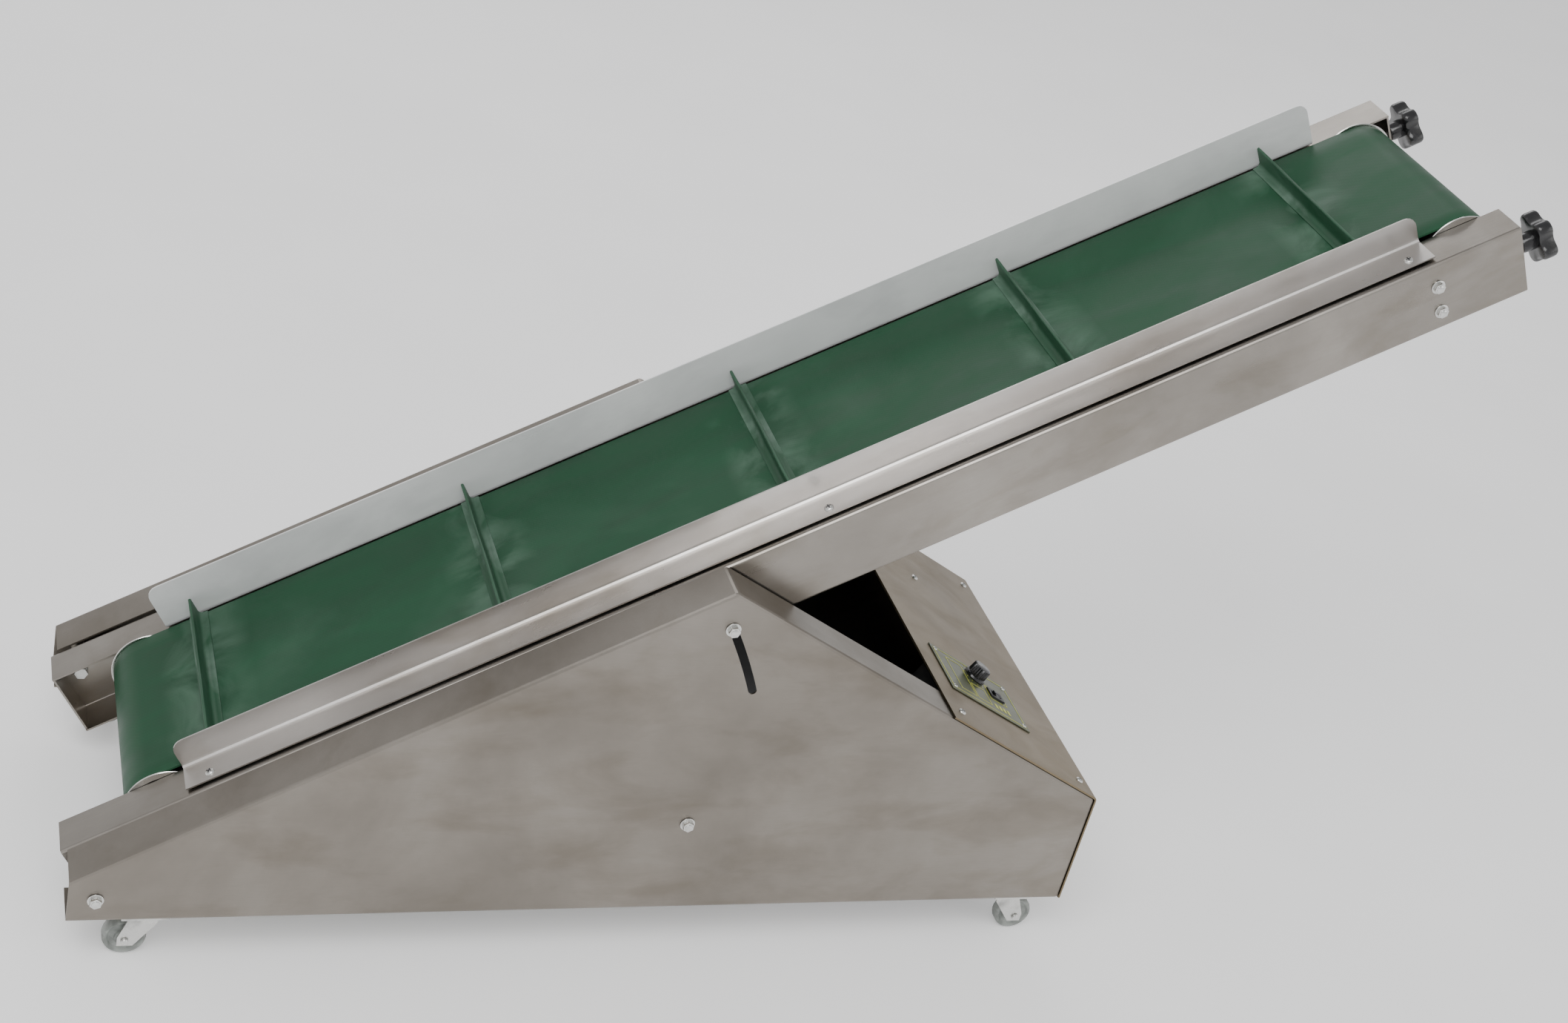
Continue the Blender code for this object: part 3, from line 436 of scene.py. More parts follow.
PITCH = (2 * (IDLER.x - DRIVE.x) + 2 * math.pi * BELT_OUT) / CLEATS
PANEL = stainless("panel_stainless", (0.205, 0.185, 0.160), (0.31, 0.285, 0.255), 0.0,
                  (0.32, 0.46), cloud=4.5)
RAIL = stainless("rail_stainless", (0.25, 0.230, 0.205), (0.37, 0.345, 0.315), TILT, (0.24, 0.38), cloud=4.5)
GUARD = stainless("guard_stainless", (0.46, 0.44, 0.42), (0.62, 0.60, 0.58), TILT, (0.24, 0.40))
# Lit copy of the guard stainless for the far guard: much lighter and less metallic, a painted reflection of
# the bright surroundings on its inner face.
GUARD_PAINTED_SHEEN = stainless("guard_painted_sheen", (0.72, 0.73, 0.73), (0.95, 0.95, 0.95), TILT,
                         (0.26, 0.42), 0.25, 3.4, (0.62, 0.62, 0.63))
COVER_SHEET = stainless("cover_sheet", (0.15, 0.115, 0.07), (0.25, 0.20, 0.13), 0.0, (0.30, 0.46))
BED = stainless("bed_stainless", (0.36, 0.34, 0.32), (0.52, 0.50, 0.47), TILT, (0.30, 0.45))
ZINC = zinc("bright_zinc")
ROLLER = zinc("roller_steel", (0.70, 0.69, 0.66))
DARK = dark_metal("dark_steel")
SHADE_SHEET = dark_sheet_painted_shade("sheet_painted_shade")
BELT_LOOK = belt_green("belt_cover", PITCH, CLEAT_FIRST, DRIVE.z)
CLEAT_LOOK = cleat_green("cleat_cover")
BLACK = black_plastic("knob_black")
SATIN_BLACK = black_plastic("case_black", (0.35, 0.55))
TREAD = wheel_rubber("wheel_tread")
PAINT = motor_paint("motor_enamel")
FOIL = foil("control_foil", (0.050, 0.060, 0.030), (0.110, 0.115, 0.060), (0.25, 0.45))
PRINT = foil("yellow_print", (0.42, 0.44, 0.05), (0.58, 0.58, 0.10), (0.35, 0.55))
WHITE_PRINT = foil("white_print", (0.50, 0.50, 0.46), (0.66, 0.66, 0.62), (0.35, 0.55))


# ---- CAD nodes that keep their shape -------------------------------------------------------
def dress(name, looks, edge=0.0):
    node = NODES[name]
    node.data.materials.clear()
    node.data.materials.append(looks)
    node.data.shade_smooth()
    node.data.set_sharp_from_angle(angle=math.radians(32))
    if edge:
        soften(node, edge, 2, 50)


for side in SIDES:
    dress("side_panel_" + side, PANEL, 0.0006)
    dress("rail_" + side, RAIL, 0.0005)
    dress("drive_bearing_" + side, DARK, 0.0006)
    dress("tension_block_" + side, DARK, 0.0008)
dress("guard_near", GUARD, 0.0005)
# The far guard takes the lit copy of the guard stainless: painted sheen on its inner face.
dress("guard_far", GUARD_PAINTED_SHEEN, 0.0005)
dress("rear_cover", COVER_SHEET, 0.0005)
# The floor plate and its upturned shield take the dark sheet: painted shade of the base's interior.
dress("floor_plate", SHADE_SHEET, 0.0005)
dress("slider_bed", BED, 0.0004)
dress("motor_bracket", RAIL, 0.0005)
dress("speed_controller", SATIN_BLACK)
dress("control_plate", FOIL, 0.0002)
dress("switch_body", SATIN_BLACK, 0.0004)
dress("switch_rocker", BLACK, 0.0006)


# ---- belt and cleats -----------------------------------------------------------------------
def belt_piece():
    """The belt loop with fine arcs and slightly rounded edges."""
    steps, runs = 40, 60
    edge = 0.0009

    def loop(radius):
        points = arc((IDLER.x, IDLER.z), radius, math.pi / 2, -math.pi / 2, steps)
        low = [(IDLER.x + (DRIVE.x - IDLER.x) * i / runs, DRIVE.z - radius) for i in range(1, runs)]
        back = arc((DRIVE.x, DRIVE.z), radius, -math.pi / 2, -3 * math.pi / 2, steps)
        high = [(DRIVE.x + (IDLER.x - DRIVE.x) * i / runs, DRIVE.z + radius) for i in range(1, runs)]
        return points + low + back + high

    inner, outer = BELT_OUT - BELT, BELT_OUT
    section = [(inner, -BELT_HALF), (inner, BELT_HALF), (outer - edge, BELT_HALF),
               (outer - edge * 0.3, BELT_HALF - edge * 0.3), (outer, BELT_HALF - edge)]
    section += [(outer, BELT_HALF * k / 6) for k in range(5, -6, -1)]
    section += [(outer, -BELT_HALF + edge), (outer - edge * 0.3, -BELT_HALF + edge * 0.3),
                (outer - edge, -BELT_HALF)]
    bm = bmesh.new()
    rows = [[bm.verts.new((s, y, n)) for s, n in loop(radius)] for radius, y in section]
    count = len(rows[0])
    for first, second in zip(rows, rows[1:] + rows[:1]):
        for i in range(count):
            j = (i + 1) % count
            bm.faces.new((first[i], first[j], second[j], second[i]))
    mesh = finish_mesh("belt_loop", bm, 50)
    piece("belt_loop", mesh, BELT_LOOK, "belt_frame", BELT_FRAME, ["belt"])


def cleat_place(distance):
    """Where a cleat stands after this run from the drive roller's top: (s, n, turn)."""
    span, bow = IDLER.x - DRIVE.x, math.pi * BELT_OUT
    if distance < span:
        return DRIVE.x + distance, DRIVE.z + BELT_OUT, 0.0
    if distance < span + bow:
        turn = (distance - span) / BELT_OUT
        return IDLER.x + BELT_OUT * math.sin(turn), IDLER.z + BELT_OUT * math.cos(turn), turn
    if distance < 2 * span + bow:
        return IDLER.x - (distance - span - bow), IDLER.z - BELT_OUT, math.pi
    turn = math.pi + (distance - 2 * span - bow) / BELT_OUT
    return DRIVE.x + BELT_OUT * math.sin(turn), DRIVE.z + BELT_OUT * math.cos(turn), turn


def cleat_mesh(seed):
    """Blade on a welded foot: filleted base, round tip, and a slightly wavy edge."""
    rng = random.Random(seed)
    foot, blade, high = 0.0098, 0.0015, CLEAT_HEIGHT
    half = [(foot, 0.0), (foot, 0.0010), (foot - 0.0006, 0.0014), (0.0062, 0.0016)]
    half += [(x, z) for x, z in arc((0.0062, 0.0063), 0.0047, math.radians(-90), math.radians(-180), 6)][1:]
    half += [(blade, 0.012), (blade, 0.018)]
    half += arc((0, high - blade), blade, 0, math.radians(90), 4)
    outline = half + [(-x, z) for x, z in reversed(half[:-1])]
    stations = 28
    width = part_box("cleat_01")[1][1]
    bm = bmesh.new()
    rows = []
    drift = [rng.uniform(-1, 1) for _ in range(4)]
    for k in range(stations + 1):
        y = -width + 2 * width * k / stations
        wave = sum(d * math.sin(y * f + f) for d, f in zip(drift, (14.0, 27.0, 41.0, 63.0)))
        row = []
        for x, z in outline:
            lean = 0.00022 * wave * max(z, 0) / high
            sag = 0.00025 * abs(wave) * (z / high) ** 3
            row.append(bm.verts.new((x + lean, y, z - sag)))
        rows.append(row)
    for first, second in zip(rows, rows[1:]):
        for i in range(len(outline)):
            j = (i + 1) % len(outline)
            bm.faces.new((first[i], first[j], second[j], second[i]))
    bm.faces.new(rows[0])
    bm.faces.new(list(reversed(rows[-1])))
    return finish_mesh("cleat", bm, 45)


def cleat_pieces():
    for index in range(CLEATS):
        s, n, turn = cleat_place((CLEAT_FIRST - DRIVE.x + index * PITCH) % (PITCH * CLEATS))
        place = BELT_FRAME @ Matrix.Translation((s, 0, n)) @ Matrix.Rotation(turn, 4, "Y")
        place = place @ Matrix.Translation((0, 0, 0.0003))
        number = "cleat_%02d" % (index + 1)
        piece("belt_" + number, cleat_mesh(index), CLEAT_LOOK, "belt_frame", place, [number])


# ---- rollers and drive ---------------------------------------------------------------------
def rim(inside, outside):
    """Outline of one rim, its edge rounded, as (radius, height)."""
    edge = 0.0005
    return [(RIM_R - edge, outside), (RIM_R, outside - edge), (RIM_R, inside + edge), (RIM_R - edge, inside)]


def roller_pieces():
    low = BELT_HALF + 0.0003
    face = RIM_FACE
    drive_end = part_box("drive_roller")[1][1]
    half = [(0, drive_end), (SHAFT_R - 0.0008, drive_end), (SHAFT_R, drive_end - 0.0008),
            (SHAFT_R, face + 0.0004), (SHAFT_R + 0.0004, face), (0.030, face), (0.031, face - 0.0008),
            (0.035, face - 0.0008),
            (0.036, face)] + rim(low, face) + [(SHELL_R, low)]
    profile = half + [(r, -h) for r, h in reversed(half)]
    at_drive = Matrix.Translation(JOINTS["drive_roller_spin"]["pos_m"]) @ ALONG_Y
    piece("drive_roller_turned", lathe("drive_roller_turned", profile, 96), ROLLER, "drive_roller", at_drive,
          ["drive_roller"])
    bore = SHAFT_R + 0.0003
    shell = [(bore, face), (0.014, face), (0.0145, face - 0.0008), (0.030, face - 0.0008),
             (0.031, face)] + rim(low, face) + [(SHELL_R, low)]
    profile = shell + [(r, -h) for r, h in reversed(shell)]
    at_idler = Matrix.Translation(JOINTS["idler_spin"]["pos_m"]) @ ALONG_Y
    mesh = lathe("idler_roller_turned", profile, 96, True)
    piece("idler_roller_turned", mesh, ROLLER, "idler_roller", at_idler,
          ["idler_roller"])
    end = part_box("idler_shaft")[1][1]
    shaft = [(0, end), (SHAFT_R - 0.001, end), (SHAFT_R, end - 0.001)]
    mesh = lathe("idler_shaft_turned", shaft + [(r, -h) for r, h in reversed(shaft)], 48)
    piece("idler_shaft_turned", mesh, ZINC, "tensioner", at_idler, ["idler_shaft"])


def sprocket_mesh(name, teeth, radius, half, bore, boss):
    """Toothed disc with a hub."""
    outline = []
    for tooth in range(teeth):
        for share, reach in ((0.0, -0.0016), (0.22, -0.0010), (0.38, 0.0), (0.62, 0.0), (0.78, -0.0010)):
            angle = 2 * math.pi * (tooth + share) / teeth
            outline.append(((radius + reach) * math.cos(angle), (radius + reach) * math.sin(angle)))
    low, high = boss
    boss_profile = [(bore, high), (radius * 0.5, high), (radius * 0.5, low), (bore, low)]
    hub = lathe(name + "_hub", boss_profile, 32, bore > 0)
    disc = prism(name + "_disc", outline, -half, half)
    return merged(name, [(disc, Matrix.Identity(4)), (hub, Matrix.Identity(4))])


def drive_pieces():
    chain_y = (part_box("drive_chain")[0][1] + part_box("drive_chain")[1][1]) / 2
    spot = Vector(JOINTS["drive_roller_spin"]["pos_m"]) + Vector((0, chain_y, 0))
    mesh = sprocket_mesh("roller_sprocket_cut", 24, BIG_SPROCKET_R, 0.002, 0.0078, (-0.0019, 0.004))
    place = Matrix.Translation(spot) @ ALONG_Y
    piece("roller_sprocket_cut", mesh, DARK, "drive_roller", place, ["roller_sprocket"])
    low, high = (value[1] - chain_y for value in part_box("motor_sprocket"))
    spot = Vector(JOINTS["motor_sprocket_spin"]["pos_m"])
    mesh = sprocket_mesh("motor_sprocket_cut", 16, SMALL_SPROCKET_R, 0.002, 0.0, (low, high))
    place = Matrix.Translation((spot.x, chain_y, spot.z)) @ ALONG_Y
    piece("motor_sprocket_cut", mesh, DARK, "motor_sprocket", place, ["motor_sprocket"])
    chain_piece(chain_y)
    motor_pieces()


def chain_piece(chain_y):
    """Roller chain: link plates and rollers along the loop round both sprockets."""
    big, small = BIG_SPROCKET_R + 0.0038, SMALL_SPROCKET_R + 0.0038
    step = Vector((MOTOR.x - DRIVE.x, MOTOR.z - DRIVE.z))
    aim, lean = math.atan2(step.y, step.x), math.acos((big - small) / step.length)
    wrap_small = arc((MOTOR.x, MOTOR.z), small, aim + lean, aim - lean, 24)
    wrap_big = arc((DRIVE.x, DRIVE.z), big, aim - lean, aim + lean - 2 * math.pi, 48)
    path = [Vector(point) for point in wrap_small + wrap_big]
    path.append(path[0])
    lengths = [(b - a).length for a, b in zip(path, path[1:])]
    total = sum(lengths)
    count = int(round(total / CHAIN_PITCH / 2)) * 2
    pins = []
    for index in range(count):
        left = total * index / count
        for a, b, length in zip(path, path[1:], lengths):
            if left <= length:
                pins.append(a.lerp(b, left / length))
                break
            left -= length
    link_half, link_r = total / count / 2, 0.0027
    outline = arc((link_half, 0), link_r, -math.pi / 2, math.pi / 2, 6) + [(0, link_r * 0.72)]
    outline += arc((-link_half, 0), link_r, math.pi / 2, 3 * math.pi / 2, 6) + [(0, -link_r * 0.72)]
    plate = prism("link_plate", outline, -0.0004, 0.0004)
    pin_half = [(0, 0.0032), (0.0011, 0.0032), (0.0011, 0.0016), (0.0016, 0.0016)]
    roller = lathe("link_roller", pin_half + [(r, -h) for r, h in reversed(pin_half)], 10)
    parts = []
    flat = Matrix.Rotation(math.radians(90), 4, "X")
    for index, pin in enumerate(pins):
        after = pins[(index + 1) % count]
        middle, way = (pin + after) / 2, after - pin
        turn = math.atan2(way.y, way.x)
        reach = 0.0027 if index % 2 else 0.0018
        for sign in (-1, 1):
            spot = Matrix.Translation((middle.x, chain_y + sign * reach, middle.y)) @ flat
            parts.append((plate, spot @ Matrix.Rotation(turn, 4, "Z")))
        parts.append((roller, Matrix.Translation((pin.x, chain_y, pin.y)) @ flat))
    mesh = merged("roller_chain", parts)
    piece("roller_chain", mesh, DARK, "belt_frame", BELT_FRAME, ["drive_chain"])


def motor_pieces():
    """Gearbox, and a ribbed motor with an end cap and a terminal lid."""
    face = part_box("motor_bracket")[0][1] - 0.0003
    seat = Matrix.Translation((MOTOR.x, 0, MOTOR.z))
    box = block("gearbox", (-0.022, face - 0.050, -0.038), (0.070, face, 0.038))
    case = piece("gearbox_case", box, PAINT, "belt_frame", BELT_FRAME @ seat, ["gearmotor"])
    soften(case, 0.005, 4, 60)
    start, end = 0.050, 0.160
    profile = [(0, -end), (0.026, -end), (0.031, -end + 0.006), (0.0315, -end + 0.022),
               (0.034, -end + 0.023)]
    ribs = 9
    for k in range(ribs):
        low = -end + 0.026 + k * 0.0078
        profile += [(0.0348, low), (0.0348, low + 0.0035), (0.0322, low + 0.004), (0.0322, low + 0.0074)]
    profile += [(0.0348, -start - 0.0045), (0.0348, -start - 0.0003), (0, -start - 0.0003)]
    profile = [(r, -h) for r, h in profile]
    turn = Matrix.Translation((0.026, face, 0)) @ Matrix.Rotation(math.radians(90), 4, "X")
    barrel = lathe("motor_barrel", profile, 64)
    piece("motor_barrel", barrel, PAINT, "belt_frame", BELT_FRAME @ seat @ turn)
    lid = block("terminal_lid", (0.006, face - 0.110, 0.034), (0.046, face - 0.070, 0.0375))
    soften(piece("terminal_lid", lid, SATIN_BLACK, "belt_frame", BELT_FRAME @ seat), 0.001)


# ---- fasteners -----------------------------------------------------------------------------
def hex_bolt_mesh(name, radius, tall, washer_r, thick, stud):
    """Washer, hexagon with rounded corners, and a stud end, standing on z = 0."""
    washer_profile = [(0, thick), (washer_r - 0.0003, thick), (washer_r, thick - 0.0003), (washer_r, 0),
                      (0, 0)]
    washer = lathe(name + "_washer", washer_profile, 40)
    nut = prism(name + "_nut", polygon(6, radius), thick, thick + tall)
    crown = thick + tall
    dome = lathe(name + "_crown", [(0, crown + stud), (0.0022, crown + stud * 0.9),
                                   (0.0036, crown + stud * 0.4), (0.0040, crown - 0.0003),
                                   (0, crown - 0.0003)], 24)
    turned = Matrix.Rotation(RANDOM.uniform(0, math.pi / 3), 4, "Z")
    return merged(name, [(washer, Matrix.Identity(4)), (nut, turned), (dome, Matrix.Identity(4))])


def frame_bolt_piece(name, side, body):
    """Hexagon bolt with its washer, spacer sleeve and inner nut, out through the cabinet's side."""
    node = name + "_" + side
    low, high = (Vector(corner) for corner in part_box(node))
    middle = (low + high) / 2
    outer, panel = BASE_HALF + 0.0003, BASE_HALF - 0.0023
    rail, web = RAIL_HALF + 0.0003, RAIL_HALF - 0.0023
    shank = [(0, outer + 0.001), (0.004, outer + 0.001), (0.004, panel), (0.0080, panel - 0.0002),
             (0.0080, rail + 0.0002), (0.0040, rail), (0.0040, web), (0.0072, web), (0.0072, web - 0.0012),
             (0.004, web - 0.0012), (0, web - 0.0012)]
    inner = prism("inner_nut", polygon(6, 0.0073), web - 0.0064, web - 0.0012)
    head = hex_bolt_mesh("head", 0.0059, 0.0048, 0.0075, 0.0014, 0.0012)
    lift = Matrix.Translation((0, 0, outer))
    mesh = merged(node, [(lathe("shank", shank, 40), Matrix.Identity(4)), (inner, Matrix.Identity(4)),
                         (head, lift)])
    place = Matrix.Translation((middle.x, 0, middle.z)) @ TURNED_OUT[side]
    soften(piece(node + "_turned", mesh, ZINC, body, place, [node]), 0.0003, 2, 45)


def tie_rod_piece():
    low, high = (Vector(corner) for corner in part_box("tie_rod"))
    middle = (low + high) / 2
    outer, inner = BASE_HALF + 0.0003, BASE_HALF - 0.0023
    half = [(0, outer + 0.001), (0.004, outer + 0.001), (0.004, inner), (0.0070, inner),
            (0.0080, inner - 0.001)]
    rod = lathe("rod", half + [(r, -h) for r, h in reversed(half)], 40)
    head = hex_bolt_mesh("head", 0.0059, 0.0048, 0.0075, 0.0014, 0.0012)
    parts = [(rod, Matrix.Identity(4)), (head, Matrix.Translation((0, 0, outer)))]
    parts.append((head, Matrix.Rotation(math.pi, 4, "X") @ Matrix.Translation((0, 0, outer))))
    place = Matrix.Translation((middle.x, 0, middle.z)) @ ALONG_Y
    made = piece("tie_rod_turned", merged("tie_rod_turned", parts), ZINC, "base", place,
                 ["tie_rod"])
    soften(made, 0.0003, 2, 45)


def screw_mesh(name, radius=0.0042, tall=0.0022):
    """Pan head of a screw, standing on z = 0."""
    profile = [(0, tall), (radius * 0.5, tall * 0.94), (radius * 0.8, tall * 0.72),
               (radius * 0.97, tall * 0.35), (radius, 0), (0, 0)]
    return lathe(name, profile, 32)


def recess_painted_shade(name, radius, tall):
    """Dark cross standing just proud of a screw's head: painted shade in place of its cross recess."""
    arm, half = radius * 0.55, radius * 0.13
    outline = [(arm, -half), (arm, half), (half, half), (half, arm), (-half, arm), (-half, half),
               (-arm, half), (-arm, -half), (-half, -half), (-half, -arm), (half, -arm), (half, -half)]
    return prism(name, outline, tall * 0.80, tall * 1.01)


def small_screws():
    """Foot screws of the guards, cover and plate screws, and the tension blocks' bolts on both rails."""
    foot_top = 0.0023 + 0.0015
    for side, sign in SIDES.items():
        for number, s in enumerate(GUARD_SCREWS):
            place = BELT_FRAME @ Matrix.Translation((s, sign * GUARD_SCREW_Y, foot_top)) @ turn_z()
            screw_piece("guard_screw_%s_%d" % (side, number), place, "belt_frame", 0.0048, 0.0024)
    for number, (x, y) in enumerate(COVER_SCREWS):
        place = cover_place(x, y, 0.0) @ turn_z()
        screw_piece("cover_screw_%d" % number, place, "base", 0.0042, 0.0022)
    for number, (x, y) in enumerate(PLATE_SCREWS):
        place = cover_place(x, y, 0.0013) @ turn_z()
        screw_piece("plate_screw_%d" % number, place, "base", 0.0026, 0.0014)
    for side, sign in SIDES.items():
        for number, n in enumerate(BLOCK_BOLT_N):
            mesh = hex_bolt_mesh("block_bolt", 0.0058, 0.0036, 0.0072, 0.0012, 0.0012)
            seat = Matrix.Translation((BLOCK_BOLT_S, sign * (RAIL_HALF + 0.0001), n))
            place = BELT_FRAME @ seat @ TURNED_OUT[side]
            bolt = piece("block_bolt_%s_%d" % (side, number), mesh, ZINC, "belt_frame", place)
            soften(bolt, 0.0003, 2, 45)


def turn_z():
    return Matrix.Rotation(RANDOM.uniform(0, math.pi), 4, "Z")


def cover_place(x, y, lift):
    """A place on the cover's face: x down the slope from the peak, y across."""
    return COVER @ Matrix.Translation((x - KNOB_DOWN_SLOPE, y - KNOB_SPOT.y, lift - 0.0013))


def screw_piece(name, place, body, radius, tall):
    piece(name, screw_mesh(name, radius, tall), ZINC, body, place)
    # The dark cross on each screw head is painted shade of the recess.
    piece(name + "_recess", recess_painted_shade(name + "_recess", radius, tall), DARK, body, place)


# ---- knobs ---------------------------------------------------------------------------------
def star_knob_pieces(side):
    """Five-lobed knob: round lobes and hollows, domed face, boss, and its threaded rod."""
    sign = SIDES[side]
    body = "tension_knob_" + side
    joint = JOINTS["tension_screw_%s_turn" % side]
    facing_out = Matrix.Rotation(math.radians(90), 4, "Y")
    place = Matrix.Translation(joint["pos_m"]) @ Matrix.Rotation(-TILT, 4, "Y") @ facing_out
    base, top, radius, lobes, around = 0.019, 0.035, 0.0265, 5, 120

    def reach(angle):
        wave = math.cos(lobes * angle)
        return radius * (0.872 + 0.128 * math.copysign(abs(wave) ** 0.75, wave))

    levels = [(0.30, base + 0.0006), (0.80, base), (0.94, base + 0.0005), (0.985, base + 0.0018),
              (1.0, base + 0.0042), (1.0, top - 0.0052), (0.985, top - 0.0026), (0.94, top - 0.0009),
              (0.84, top - 0.0002), (0.62, top), (0.50, top - 0.0004), (0.44, top - 0.0016),
              (0.30, top - 0.0020)]
    bm = bmesh.new()
    rows = []
    for share, height in levels:
        soft = min(1.0, max(0.0, (share - 0.30) / 0.5))
        row = []
        for a in (2 * math.pi * k / around for k in range(around)):
            out = share * (reach(a) * soft + radius * 0.8 * (1 - soft))
            row.append(bm.verts.new((out * math.cos(a), out * math.sin(a), height)))
        rows.append(row)
    for first, second in zip(rows, rows[1:]):
        for i in range(around):
            j = (i + 1) % around
            bm.faces.new((first[i], first[j], second[j], second[i]))
    bm.faces.new(list(reversed(rows[0])))
    bm.faces.new(rows[-1])
    star = finish_mesh("star", bm, 60)
    boss = lathe("boss", [(0, base + 0.002), (0.0098, base + 0.002), (0.0095, 0.0095), (0.0088, 0.0074),
                          (0.0078, 0.0070), (0, 0.0070)], 48)
    mesh = merged("star_knob_" + side, [(star, Matrix.Identity(4)), (boss, Matrix.Identity(4))])
    piece("star_knob_%s_moulded" % side, mesh, BLACK, body, place, ["star_knob_" + side])
    low = -0.0345
    threads = 0.00125
    profile = [(0, 0.0066), (0.0040, 0.0066)]
    height = 0.0060
    while height > low + 0.0015:
        profile += [(0.0040, height), (0.0040, height - 0.00018), (0.00345, height - threads * 0.5)]
        height -= threads
    profile += [(0.0036, low + 0.0004), (0.0030, low), (0, low)]
    name = "tension_screw_%s_cut" % side
    piece(name, lathe(name, profile, 32), ZINC, body, place, ["tension_screw_" + side])
    washer = [(0.0045, 0.0012), (0.0078, 0.0012), (0.0082, 0.0008), (0.0082, 0.0002), (0.0045, 0.0002)]
    name = "end_washer_" + side
    piece(name, lathe(name, washer, 40, True), ZINC, "belt_frame", place)


def control_pieces():
    """Fluted speed knob with a pointer line, and the plate's printed frames and dial ticks."""
    skirt, top, spindle = 0.0010, 0.0150, -0.0200
    around = 96
    levels = [(0.0128, skirt), (0.0130, skirt + 0.0006), (0.0124, skirt + 0.0026), (0.0106, skirt + 0.0036),
              (0.0102, top - 0.0014), (0.0096, top - 0.0004), (0.0086, top)]
    bm = bmesh.new()
    rows = []
    for radius, height in levels:
        depth = 0.00042 if skirt + 0.003 < height < top - 0.0002 else 0.0
        rows.append([bm.verts.new(((radius + depth * math.cos(24 * a)) * math.cos(a),
                                   (radius + depth * math.cos(24 * a)) * math.sin(a), height))
                     for a in (2 * math.pi * k / around for k in range(around))])
    for first, second in zip(rows, rows[1:]):
        for i in range(around):
            j = (i + 1) % around
            bm.faces.new((first[i], first[j], second[j], second[i]))
    bm.faces.new(list(reversed(rows[0])))
    bm.faces.new(rows[-1])
    cap = finish_mesh("cap", bm, 40)
    stem = lathe("stem", [(0, skirt + 0.001), (0.003, skirt + 0.001), (0.003, spindle), (0, spindle)], 24)
    mesh = merged("speed_knob_fluted", [(cap, Matrix.Identity(4)), (stem, Matrix.Identity(4))])
    piece("speed_knob_fluted", mesh, BLACK, "speed_knob", COVER, ["speed_knob"])
    line = block("pointer", (-0.0086, -0.0005, top - 0.0002), (-0.0030, 0.0005, top + 0.0001))
    piece("speed_knob_pointer", line, WHITE_PRINT, "speed_knob", COVER)
    print_strips()


def print_strips():
    """Frames, dial ticks and bars printed on the control plate."""
    lift, thick = 0.0001, 0.00012
    strips = []

    def bar(x0, y0, x1, y1):
        strips.append((block("bar", (x0, y0, lift), (x1, y1, lift + thick)), Matrix.Identity(4)))

    def outline(x0, y0, x1, y1, wide=0.0010):
        bar(x0, y0, x1, y0 + wide)
        bar(x0, y1 - wide, x1, y1)
        bar(x0, y0 + wide, x0 + wide, y1 - wide)
        bar(x1 - wide, y0 + wide, x1, y1 - wide)

    outline(-0.058, -0.054, 0.056, 0.016, 0.0012)
    outline(-0.042, -0.046, -0.018, 0.008)
    outline(0.012, -0.030, 0.038, -0.006)
    outline(-0.016, -0.046, 0.006, -0.020)
    for k in range(4):
        bar(0.012 + k * 0.0065, -0.046, 0.016 + k * 0.0065, -0.038)
    for k in range(11):
        angle = math.radians(45 + 27 * k)
        strips.append((block("tick", (-0.0012, -0.0004, lift), (0.0012, 0.0004, lift + thick)),
                       Matrix.Rotation(angle, 4, "Z") @ Matrix.Translation((0.0158, 0, 0))))
    piece("plate_print", merged("plate_print", strips), PRINT, "base", COVER)


# ---- casters -------------------------------------------------------------------------------
def caster_pieces(tag):
    swivel = Vector(JOINTS["caster_swivel_" + tag]["pos_m"])
    axle = Vector(JOINTS["caster_spin_" + tag]["pos_m"])
    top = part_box("caster_plate_" + tag)[1][2]
    radius = axle.z
    half, tread = 0.0085, 0.0070
    hub = [(0.0033, half), (0.0075, half), (0.0090, half - 0.0006), (0.0095, tread - 0.0014),
           (0.0150, tread - 0.0022), (0.0165, tread - 0.0006), (0.0180, tread)]
    band = [(radius - 0.0022, tread), (radius - 0.0008, tread - 0.0012), (radius, tread - 0.0034)]
    profile = hub + band
    wheel = lathe("wheel_" + tag, profile + [(r, -h) for r, h in reversed(profile)], 72, True)
    node = "caster_wheel_" + tag
    place = Matrix.Translation(axle) @ ALONG_Y
    piece(node + "_moulded", wheel, TREAD, node, place, [node])
    dress("caster_plate_" + tag, ZINC, 0.0006)
    dress("caster_fork_" + tag, ZINC)
    for index, sign in enumerate((-1, 1)):
        nut = lathe("axle_nut", [(0, 0.0022), (0.0030, 0.0022), (0.0036, 0.0016), (0.0036, 0.0), (0, 0)], 24)
        outward = ALONG_Y if sign > 0 else ALONG_Y @ Matrix.Rotation(math.pi, 4, "X")
        seat = Matrix.Translation(axle + Vector((0, sign * 0.0125, 0))) @ outward
        piece("axle_head_%s_%d" % (tag, index), nut, ZINC, "caster_fork_" + tag, seat)


# ---- stage ---------------------------------------------------------------------------------
def floor_look():
    n = Nodes("studio_floor")
    speckle = n.noise(n.coords, 3.0, detail=3.0)
    tone = n.mix(n.spread(speckle, 0.0, 1.0), (0.86, 0.86, 0.86), (0.90, 0.90, 0.90))
    n.set(Base_Color=tone, Roughness=0.9)
    n.bump(speckle, 0.02, 0.001)
    n.set(Emission_Color=(1.0, 1.0, 1.0), Emission_Strength=0.30)
    return n.material


def area_light(name, place, target, size, power, colour=(1, 1, 1)):
    light = bpy.data.lights.new(name, "AREA")
    light.shape = "RECTANGLE"
    light.size, light.size_y = size
    light.energy = power
    light.color = colour
    made = bpy.data.objects.new(name, light)
    bpy.context.scene.collection.objects.link(made)
    made.location = place
    made.rotation_euler = (Vector(target) - Vector(place)).to_track_quat("-Z", "Y").to_euler()


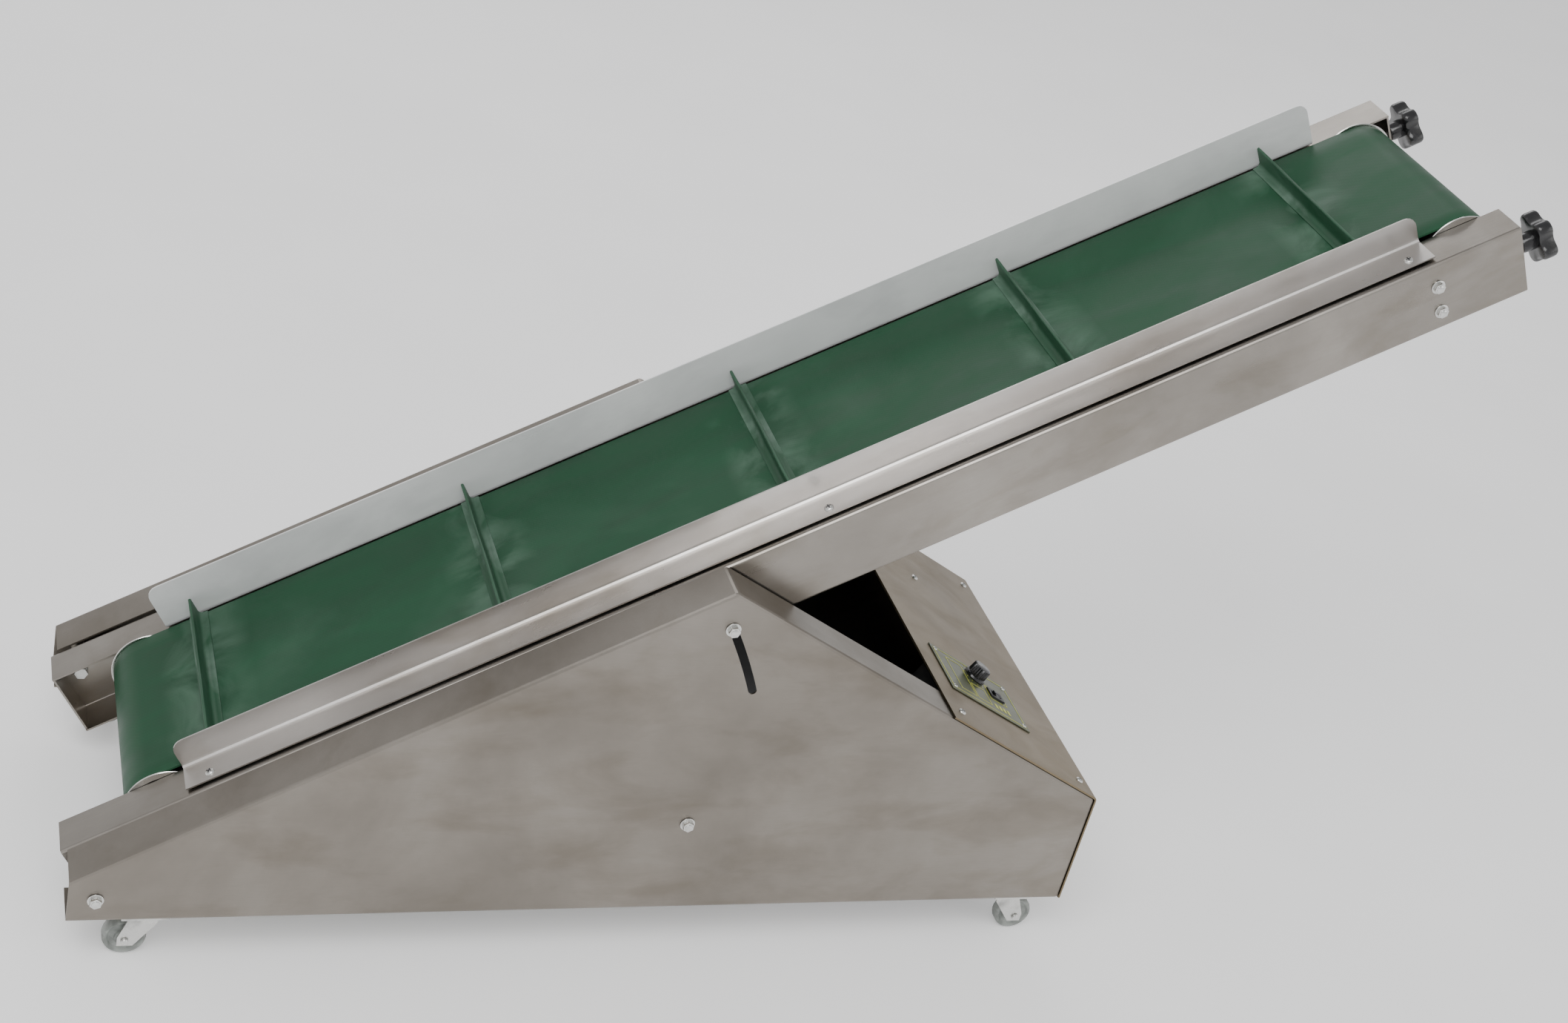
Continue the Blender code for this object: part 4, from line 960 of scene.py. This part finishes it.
def studio_sky():
    """White at the horizon and a little darker overhead, so that upward faces are darker."""
    world = bpy.data.worlds.new("studio")
    bpy.context.scene.world = world
    world.use_nodes = True
    nodes, links = world.node_tree.nodes, world.node_tree.links
    background = nodes["Background"]
    background.inputs["Strength"].default_value = 0.95
    parts = nodes.new("ShaderNodeSeparateXYZ")
    links.new(nodes.new("ShaderNodeTexCoord").outputs["Generated"], parts.inputs["Vector"])
    sky = nodes.new("ShaderNodeValToRGB")
    horizon, zenith = sky.color_ramp.elements
    horizon.position, horizon.color = 0.15, (1.0, 1.0, 1.0, 1.0)
    zenith.position, zenith.color = 0.90, (0.62, 0.62, 0.63, 1.0)
    links.new(parts.outputs["Z"], sky.inputs["Fac"])
    links.new(sky.outputs["Color"], background.inputs["Color"])


def stage():
    bm = bmesh.new()
    bmesh.ops.create_grid(bm, x_segments=4, y_segments=4, size=30)
    floor = bpy.data.objects.new("studio_floor", finish_mesh("studio_floor", bm))
    bpy.context.scene.collection.objects.link(floor)
    floor.data.materials.append(floor_look())
    floor.location.z = min(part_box("caster_wheel_" + tag)[0][2] for tag in CASTERS) - 0.0002
    studio_sky()
    area_light("key", (-1.2, -1.6, 2.8), (0, 0, 0.4), (2.2, 1.6), 60)
    area_light("fill", (2.6, -2.2, 1.8), (0, 0, 0.4), (2.0, 2.0), 16)
    area_light("back", (0.5, 2.8, 2.4), (0, 0, 0.5), (2.4, 1.2), 22)


def camera():
    made = bpy.data.cameras.new("camera")
    made.sensor_width = 36.0
    made.lens = 52.74
    eye = bpy.data.objects.new("camera", made)
    bpy.context.scene.collection.objects.link(eye)
    low_end = BELT_FRAME @ Vector((0, 0, 0))
    eye.location = low_end + Vector((-0.147, -1.8423, 1.4781))
    eye.rotation_euler = [math.radians(angle) for angle in (59.0823, -13.0621, -16.6888)]
    bpy.context.scene.camera = eye


CASTERS = ["front_near", "front_far", "rear_near", "rear_far"]
belt_piece()
cleat_pieces()
roller_pieces()
drive_pieces()
for side in SIDES:
    frame_bolt_piece("pivot_bolt", side, "base")
    frame_bolt_piece("slot_bolt", side, "belt_frame")
    star_knob_pieces(side)
for name in ("cross_tube_low", "cross_tube_high"):
    dress(name, ZINC, 0.0006)
tie_rod_piece()
small_screws()
control_pieces()
for tag in CASTERS:
    caster_pieces(tag)
stage()
camera()
